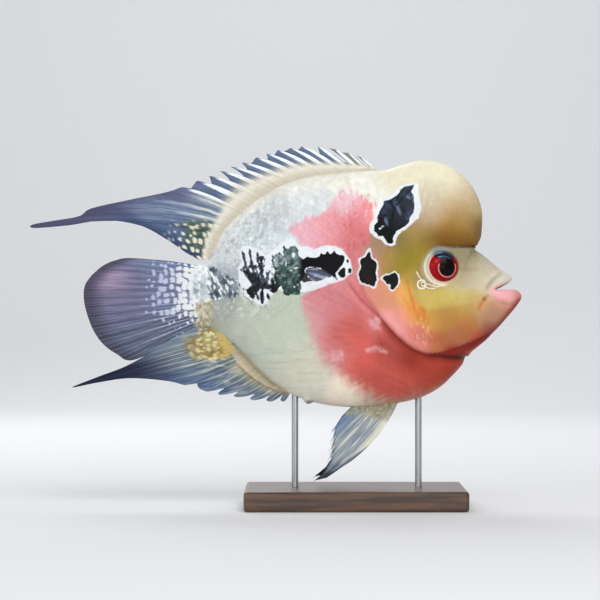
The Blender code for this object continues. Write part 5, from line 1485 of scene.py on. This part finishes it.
spine_roots = on_line(belly_line, ANAL_ROOT_X)
ray_roots = along_line(belly_line, spine_roots[-1], (-86.4, 107.6), len(ANAL_RAYS) + 1)[1:]
anal = fin_surface(
    "anal_fin_web", sunk(np.vstack([spine_roots, ray_roots]), SINK), ANAL_SPINES + ANAL_RAYS,
    ANAL_BOWS, anal_lean, len(ANAL_SPINES),
    {"root": 4.6, "root_way": 0.32, "spine": 0.6, "ray": 0.35, "web": 0.42, "wave": 0.25, "round": 1.9},
    anal_colour,
    ANAL_NOTCHES, between=20, rows=84, smooth=len(ANAL_SPINES))
place_fin(anal, web_finish, "anal_fin")

# %% [markdown]
# ### Tail fin
# Sixteen branched rays in a rounded fan, violet in the middle and slate at its edges. White scales run out
# on its root and break up into rows of spots, smaller and smaller towards the margin.

# %% Tail fin
CAUDAL_RAYS = [(-109.8, 147.3), (-135.0, 149.2), (-144.0, 147.7), (-150.6, 145.0), (-156.0, 140.8),
               (-159.9, 136.6), (-162.3, 132.4), (-163.0, 127.6), (-162.6, 122.2), (-161.4, 116.8),
               (-159.6, 111.1), (-156.6, 104.5), (-151.2, 97.3), (-143.4, 91.6), (-133.8, 87.8),
               (-112.2, 97.0)]


def caudal_colour(u, v, x, z, hard, spine, ray, reach):
    """White root that breaks up into rows of white spots, violet middle, slate edges, pale ray lines."""
    grain = ripple(x, z, 1.4, 1.4, 6, 2)
    strand = ripple(u * 5, reach, 1.0, 9.0, 1, 2)
    web = mix(tone(82, 78, 106), tone(114, 106, 138), 0.5 + 0.6 * strand)
    web = mix(web, tone(174, 146, 172), 0.95 * swell(x, z, (-149, 136), (22, 11), 1.0) * (0.8 + 0.4 * strand))
    web = mix(web, tone(106, 124, 158), 0.8 * ease(3.4, 0.6, u) * ease(-152, -132, x))
    web = mix(web, tone(100, 114, 148), 0.7 * ease(-138, -116, x) * ease(108, 120, z))
    web = mix(web, tone(66, 76, 98), 0.85 * ease(8.0, 12.5, u + 0.8 * strand))
    web = mix(web, tone(52, 48, 66), 0.8 * ease(0.82, 0.98, v))
    line = 0.35 * ease(0.3, 0.9, ray) + 0.55 * lines(u, v, x, z, 3.0, 3) * (0.35 + 0.65 * ease(7.0, 11.0, u))
    beam = ease(0.55, 0.95, 0.5 + 0.5 * np.cos(4 * math.pi * u + 0.8 * strand) + 0.2 * strand)
    line = line + 0.7 * beam * ease(8.2, 10.0, u) * ease(50.0, 18.0, reach)
    line = np.clip(line, 0, 1) * (0.74 - 0.4 * ease(0.7, 1.0, v))
    tint = mix(web, tone(192, 203, 226), line)
    size = np.interp(reach, [8, 12, 17, 23, 29, 36, 42, 48], [0.76, 0.56, 0.48, 0.42, 0.35, 0.26, 0.02, -0.4])
    size = size - 0.22 * ease(2.4, 0.0, u) - 0.3 * ease(9.5, 13.0, u) + 0.10 * ripple(x, z, 4.0, 4.0, 2)
    spot = cells(reach / 3.7 + 0.4 * ripple(u, reach, 2.0, 8.0, 7),
                 0.75 * u + 0.3 * ripple(reach, u, 6.0, 2.0, 4), 5)
    white = mix(tone(190, 198, 220), tone(242, 245, 243), ease(32.0, 15.0, reach))
    tint = mix(tint, white, 0.92 * ease(0.06, -0.06, spot + 0.06 * grain - size))
    border = reach + 5.0 * ripple(x, z, 3.4, 4.2, 2, 2)
    return mix(tint, tail_root(x, z), ease(14.0, 7.5, border)), np.ones(np.shape(u))


def caudal_lean(x, z, way, u):
    """The lower half goes a little behind the middle plane, clear of the anal fin."""
    return 0.06 * (-88.5 - x) * np.clip((150.0 - z) / 45.0, 0, 1) * (x < -88.5)


caudal_z = np.linspace(144.4, 110.4, len(CAUDAL_RAYS))
caudal_z[0], caudal_z[-1] = 143.6, 110.0
caudal = fin_surface(
    "tail_fin_web", np.stack([np.full(len(CAUDAL_RAYS), -85.4), caudal_z], axis=1), CAUDAL_RAYS,
    [0.0] * len(CAUDAL_RAYS), caudal_lean, 0,
    {"root": 4.0, "root_way": 0.3, "spine": 0.5, "ray": 0.35, "web": 0.45, "wave": 0.2, "round": 1},
    caudal_colour,
    [0.0] * 15, between=20, rows=96, smooth=0)
place_fin(caudal, web_finish, "caudal_fin")

# %% [markdown]
# ### Pectoral fins
# The pectoral fins are almost clear, so that the flank shows through, and only the rays and the pink flush
# at the root give them away. The web's opacity is low and the rays' is higher.

# %% Pectoral fins
PECTORAL_RAYS = [(-25.8, 143.2, 4.8), (-30.6, 138.4, 3.6), (-32.4, 132.4, 2.6), (-33.0, 125.8, 1.8),
                 (-32.4, 119.2, 1.2), (-31.2, 112.0, 0.6), (-29.7, 104.8, 0.0), (-28.2, 98.2, 0.0),
                 (-25.2, 92.2, 0.0), (-21.0, 87.4, -0.6), (-15.6, 86.8, -0.8), (-9.0, 88.6, -0.8),
                 (-1.8, 91.0, -0.6)]


def pectoral_colour(u, v, x, z, hard, spine, ray, reach):
    """Clear web with the flank's own colours, a little paler along the rays."""
    tint = mix(paint(x, z), tone(236, 190, 194), 0.35 + 0.30 * ease(0.5, 0.95, ray))
    root = ease(0.10, 0.01, v)
    tint = mix(tint, paint(x, z), root)
    clear = 0.03 + 0.05 * ease(0.5, 0.95, ray) * ease(1.0, 0.6, v) + 0.3 * root
    return tint, np.clip(clear, 0, 1)


def flank_out(x, z):
    """Half width of the body at a place of the side view, read off the rib nearest to it."""
    station = np.interp(x, RIBS[:16, 2], np.arange(16.0))
    row = spline(RIBS, station)
    reach = np.where(z > row[..., 3], row[..., 1] - row[..., 3], row[..., 3] - row[..., 5])
    lean = np.clip(np.abs(z - row[..., 3]) / reach, 0, 0.99)
    return row[..., 6] * np.sqrt(1 - lean ** 2) ** row[..., 7]


root_out = float(flank_out(np.array(12.0), np.array(103.0)))
for side, word in ((-1, "right"), (1, "left")):
    roots = np.linspace((9.6, 112.0), (14.4, 94.0), len(PECTORAL_RAYS)) + np.array([1.6, 0.2])
    fin = fin_surface(
        "pectoral_fin_web_" + word, roots,
        [ray[:2] for ray in PECTORAL_RAYS], [ray[2] for ray in PECTORAL_RAYS],
        lambda x, z, way, u, side=side: side * (root_out + 1.6 + 0.30 * (12.0 - x)), 0,
        {"root": 2.2, "root_way": 0.12, "spine": 0.4, "ray": 0.3, "web": 0.35, "wave": 0.3, "round": 1},
        pectoral_colour,
        [0.0] * 12, between=16, rows=64, smooth=0)
    place_fin(fin, clear_finish, "pectoral_fin_" + word)

# %% [markdown]
# ### Pelvic fins
# They hang under the chest, spread a little outwards. Their soft rays branch so often that the rear margin
# is a comb of fine points. One ray runs out into a thread. Tan at the root, then cream, blue and slate.

# %% Pelvic fins
PELVIC_RAYS = [(-3.0, 27.8, -3.2), (-8.4, 24.4, -3.1), (-13.0, 21.2, -3.0), (-17.0, 18.5, -2.8),
               (-25.6, 15.9, -2.4), (-17.4, 22.8, -1.6), (-16.9, 26.8, -1.0), (-15.0, 29.4, -0.6),
               (-16.4, 32.0, -0.2), (-14.2, 35.0, 0.0), (-15.4, 38.0, 0.2), (-13.2, 41.0, 0.4),
               (-14.6, 44.4, 0.6), (-11.4, 48.4, 0.8), (-8.4, 53.4, 1.0), (-4.4, 57.4, 1.0), (2.0, 60.0, 0.8)]
PELVIC_NOTCHES = [0.01, 0.01, 0.01, 0.02, 0.08, 0.12, 0.12, 0.15, 0.10, 0.15, 0.12, 0.15, 0.10, 0.06,
                  0.03, 0.0]


def pelvic_colour(u, v, x, z, hard, spine, ray, reach):
    """Tan speckled root, a cream leading edge and streaks, blue at the rear and slate at the lower edge."""
    strand = ripple(u * 2.5, reach, 1.0, 9.0, 3, 2)
    fine = ripple(x, z, 1.2, 1.2, 5, 2)
    web = mix(tone(122, 136, 152), tone(178, 184, 180), 0.5 + 0.9 * strand)
    blue = ease(10.0, 12.5, u + 0.8 * strand) * ease(6.0, 12.0, reach)
    web = mix(web, mix(tone(66, 92, 142), tone(120, 144, 176), 0.5 + 0.8 * strand), 0.85 * blue)
    cream = ease(0.05, 0.5, ripple(u * 2.0, reach, 1.0, 16.0, 6, 2))
    cream = cream * ease(10.5, 7.0, u) * ease(0.98, 0.75, v)
    web = mix(web, tone(226, 222, 202), 0.9 * cream)
    web = mix(web, tone(230, 226, 206),
              0.85 * ease(3.4, 1.0, u) * ease(11.0, 15.0, reach) * ease(0.84, 0.66, v))
    slate = ease(5.0, 2.5, u + 1.5 * strand) * ease(0.64, 0.84, v)
    web = mix(web, mix(tone(62, 72, 92), tone(150, 156, 166), 0.4 + 0.9 * strand), 0.85 * slate)
    web = mix(web, tone(60, 76, 104), 0.6 * ease(0.88, 1.0, v) * ease(-0.2, 0.5, strand))
    tan = ease(17.0, 9.0, reach + 3.0 * ripple(x, z, 4.0, 4.0, 2))
    tint = mix(web, mix(tone(136, 124, 92), tone(190, 184, 158), 0.5 + 0.7 * fine), 0.85 * tan)
    return mix(tint, tone(30, 33, 44), 0.9 * ease(24.0, 20.0, z)), np.ones(np.shape(u))


for side, word in ((-1, "right"), (1, "left")):
    roots = np.linspace((26.6, 65.0), (4.4, 63.4), len(PELVIC_RAYS))
    fin = fin_surface(
        "pelvic_fin_web_" + word, roots, [ray[:2] for ray in PELVIC_RAYS], [ray[2] for ray in PELVIC_RAYS],
        lambda x, z, way, u, side=side: side * (5.0 + 0.26 * np.clip(60.0 - z, 0, None)), 0,
        {"root": 3.6, "root_way": 0.3, "spine": 0.4, "ray": 0.3, "web": 0.5, "wave": 0.12, "round": 1},
        pelvic_colour,
        PELVIC_NOTCHES, between=14, rows=84)
    place_fin(fin, web_finish, "pelvic_fin_" + word)

# %% [markdown]
# ## Eyes
# The eye is a flattened ball that looks out and slightly forward. Its iris is red with a dark cap at the
# top, and a pale ring goes round the black pupil, thicker below. The colour is a function of the distance
# from the pupil and of the direction, and a clear coat gives the wet shine of the cornea.

# %% Eyes
EYE_DEPTH, EYE_SUNK, PUPIL = 7.0, 3.4, 4.8
PUPIL_OFF = (1.2, -0.9)
EYE_AXIS = np.array([0.22, 1.0, 0.07])
EYE_OUT = 22.9


def eye_paint(ahead, rise, across):
    """Colours of the eye's front from the place ahead of and above its middle, in millimetres."""
    out = np.hypot(ahead, rise)
    from_pupil = np.hypot(ahead - PUPIL_OFF[0], rise - PUPIL_OFF[1])
    turn = np.degrees(np.arctan2(rise, ahead)) % 360
    rays = ripple(np.arctan2(rise, ahead) * 16, out, 1.0, 5.0, 2, 2)
    tint = mix(tone(178, 16, 26), tone(138, 12, 20), 0.5 + 0.5 * rays)
    maroon = ease(0.6, 0.2, np.abs(from_pupil - 6.7)) * ease(150, 180, turn) * ease(350, 320, turn)
    tint = mix(tint, tone(96, 14, 16), 0.7 * maroon)
    # Painted highlight: lighter red strokes on the upper rear of the iris.
    tint = mix(tint, tone(206, 78, 68), 0.6 * ease(0.5, 0.2, np.abs(stroke_depth(
        ahead, rise, [(-5.6, 2.6, -3.2, 3.6, 0.3), (-3.2, 3.6, -2.6, 5.0, 0.3),
                      (-5.0, 3.6, -4.2, 2.0, 0.3)]))))
    crown = ease(0.6, 2.8, rise) * ease(6.9, 5.6, from_pupil)
    tint = mix(tint, mix(tone(70, 8, 12), tone(24, 6, 8), 0.5 + 0.5 * rays), 0.9 * crown)
    ring = ease(0.42, 0.14, np.abs(from_pupil - PUPIL - 0.6)) * ease(2.8, 0.6, rise)
    tint = mix(tint, tone(228, 172, 152), 0.85 * ring)
    lid = 1.0 - np.hypot((ahead - 0.7) / 6.2, (rise - 7.0) / 2.9) + 0.05 * rays
    bands = ease(0.2, 0.9, np.sin(2.4 * rise + 0.16 * (ahead + 1.0) ** 2))
    lid_tone = mix(tone(120, 142, 172), tone(58, 74, 104), ease(-4.0, 1.0, ahead))
    lid_tone = mix(tone(30, 34, 46), lid_tone, bands)
    tint = mix(tint, lid_tone, ease(-0.02, 0.06, lid))
    tint = mix(tint, tone(18, 16, 22), 0.85 * ease(0.12, 0.02, np.abs(lid)))
    tint = mix(tint, tone(150, 164, 176), ease(7.4, 8.4, rise) * ease(-0.5, -2.4, ahead))
    tint = mix(tint, tone(14, 4, 6), ease(0.30, -0.10, from_pupil - PUPIL))
    limbus = ease(8.7, 9.1, out)
    ahead_side = np.clip(ease(60, 20, turn) + ease(300, 340, turn), 0, 1)
    edge_tone = mix(tone(232, 226, 208), tone(120, 108, 88), ahead_side)
    edge_tone = mix(edge_tone, tone(96, 108, 122), ease(40, 70, turn) * ease(135, 110, turn))
    tint = mix(tint, edge_tone, limbus)
    return mix(tint, tone(70, 40, 36), ease(-0.5, -1.5, across))


def eye_surface(name, side):
    """Sphere angles placed on an ellipsoid, with a low dome over the pupil and a furrow round the iris."""
    rings, turns = 80, 112
    polar = np.linspace(0, math.pi, rings)[1:-1, None]
    spin = np.linspace(0, 2 * math.pi, turns, endpoint=False)[None, :]
    out = EYE_RADIUS * np.sin(polar) * np.ones_like(spin)
    bulge = 0.4 * np.clip(1 - (out / 6.2) ** 2, 0, None) - 0.22 * np.exp(-((out - 8.9) / 0.5) ** 2)
    high = EYE_DEPTH * np.cos(polar) + (polar < math.pi / 2) * bulge
    axis = EYE_AXIS * np.array([1, side, 1])
    axis /= np.linalg.norm(axis)
    up = np.array([0.0, 0.0, 1.0]) - axis[2] * axis
    up /= np.linalg.norm(up)
    right = np.cross(up, axis)
    centre = np.array([EYE_CENTRE[0], side * (EYE_OUT - EYE_SUNK), EYE_CENTRE[1]])
    place = lambda a, b, c: centre + a[..., None] * right + b[..., None] * up + c[..., None] * axis
    shell = place(out * np.cos(spin), out * np.sin(spin), high * np.ones_like(spin)).reshape(-1, 3)
    points = np.vstack([shell, centre + axis * (EYE_DEPTH + 0.4), centre - axis * EYE_DEPTH])
    rows = rings - 2
    quads = grid_faces(rows, turns, closed=True)
    turn = np.arange(turns)
    after = (turn + 1) % turns
    base = (rows - 1) * turns
    cap = np.stack([np.full(turns, rows * turns), after, turn], axis=1)
    foot = np.stack([np.full(turns, rows * turns + 1), base + turn, base + after], axis=1)
    made = make_piece(name, points, quads, np.vstack([cap, foot]))
    away = points - centre
    if np.sum(away[quads[:, 0]] * np.cross(away[quads[:, 1]], away[quads[:, 2]])) < 0:
        made.data.flip_normals()
    tint = eye_paint((away @ right) * -side, away @ up, away @ axis)
    store(made, "tint", to_linear(np.clip(tint, 0, 1)))
    print(name, len(points), "points")
    return made


cornea = Finish("eye_cornea")
cornea.put(cornea.shader, "Base Color", cornea.attribute("tint", colour=True))
cornea.put(cornea.shader, "Roughness", 0.3)
cornea.put(cornea.shader, "Specular IOR Level", 0.05)
cornea.put(cornea.shader, "Coat Weight", 0.08)
cornea.put(cornea.shader, "Coat Roughness", 0.14)
cornea.bump(cornea.noise(cornea.place(), 1500.0, 2.0), 0.0001, 0.05)
for side, word in ((-1, "right"), (1, "left")):
    eye = eye_surface("eyeball_" + word, side)
    eye.data.materials.append(cornea.material)
    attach(eye, "root")
    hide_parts("eye_" + word)

# %% [markdown]
# ## Stand
# The stand keeps the solids' own shape. The base is dark stained wood under a satin lacquer: rings of noise
# stretched along the board give the grain. The rods are brushed steel, with fine scratches round the bar.

# %% Stand finishes
wood = Finish("stand_walnut")
length_way = wood.place((18.0, 260.0, 260.0))
grain = wood.noise(length_way, 1.0, 5.0, 0.6)
pores = wood.noise(wood.place((90.0, 1500.0, 1500.0)), 1.0, 2.0)
brown = wood.mix(wood.step(grain, 0.35, 0.68), tuple(linear(58, 38, 28)), tuple(linear(104, 72, 50)))
brown = wood.mix(wood.step(pores, 0.62, 0.75, 0.0, 0.5), brown, tuple(linear(34, 22, 17)))
wood.put(wood.shader, "Base Color", brown)
wood.put(wood.shader, "Roughness", wood.step(grain, 0.3, 0.8, 0.34, 0.48))
wood.put(wood.shader, "Coat Weight", 0.3)
wood.put(wood.shader, "Coat Roughness", 0.2)
wood.bump(pores, 0.0002, 0.2)
steel = Finish("stand_brushed_steel")
brush = steel.noise(steel.place((700.0, 700.0, 9000.0)), 1.0, 3.0)
steel.put(steel.shader, "Base Color", (*linear(176, 178, 182), 1.0))
steel.put(steel.shader, "Metallic", 1.0)
steel.put(steel.shader, "Roughness", steel.step(brush, 0.3, 0.7, 0.26, 0.42))
steel.bump(brush, 0.0001, 0.25)
for node, finish in (("stand_base", wood), ("stand_rod_front", steel), ("stand_rod_rear", steel)):
    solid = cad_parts[node]
    solid.data.materials.clear()
    solid.data.materials.append(finish.material)
print("stand finished")
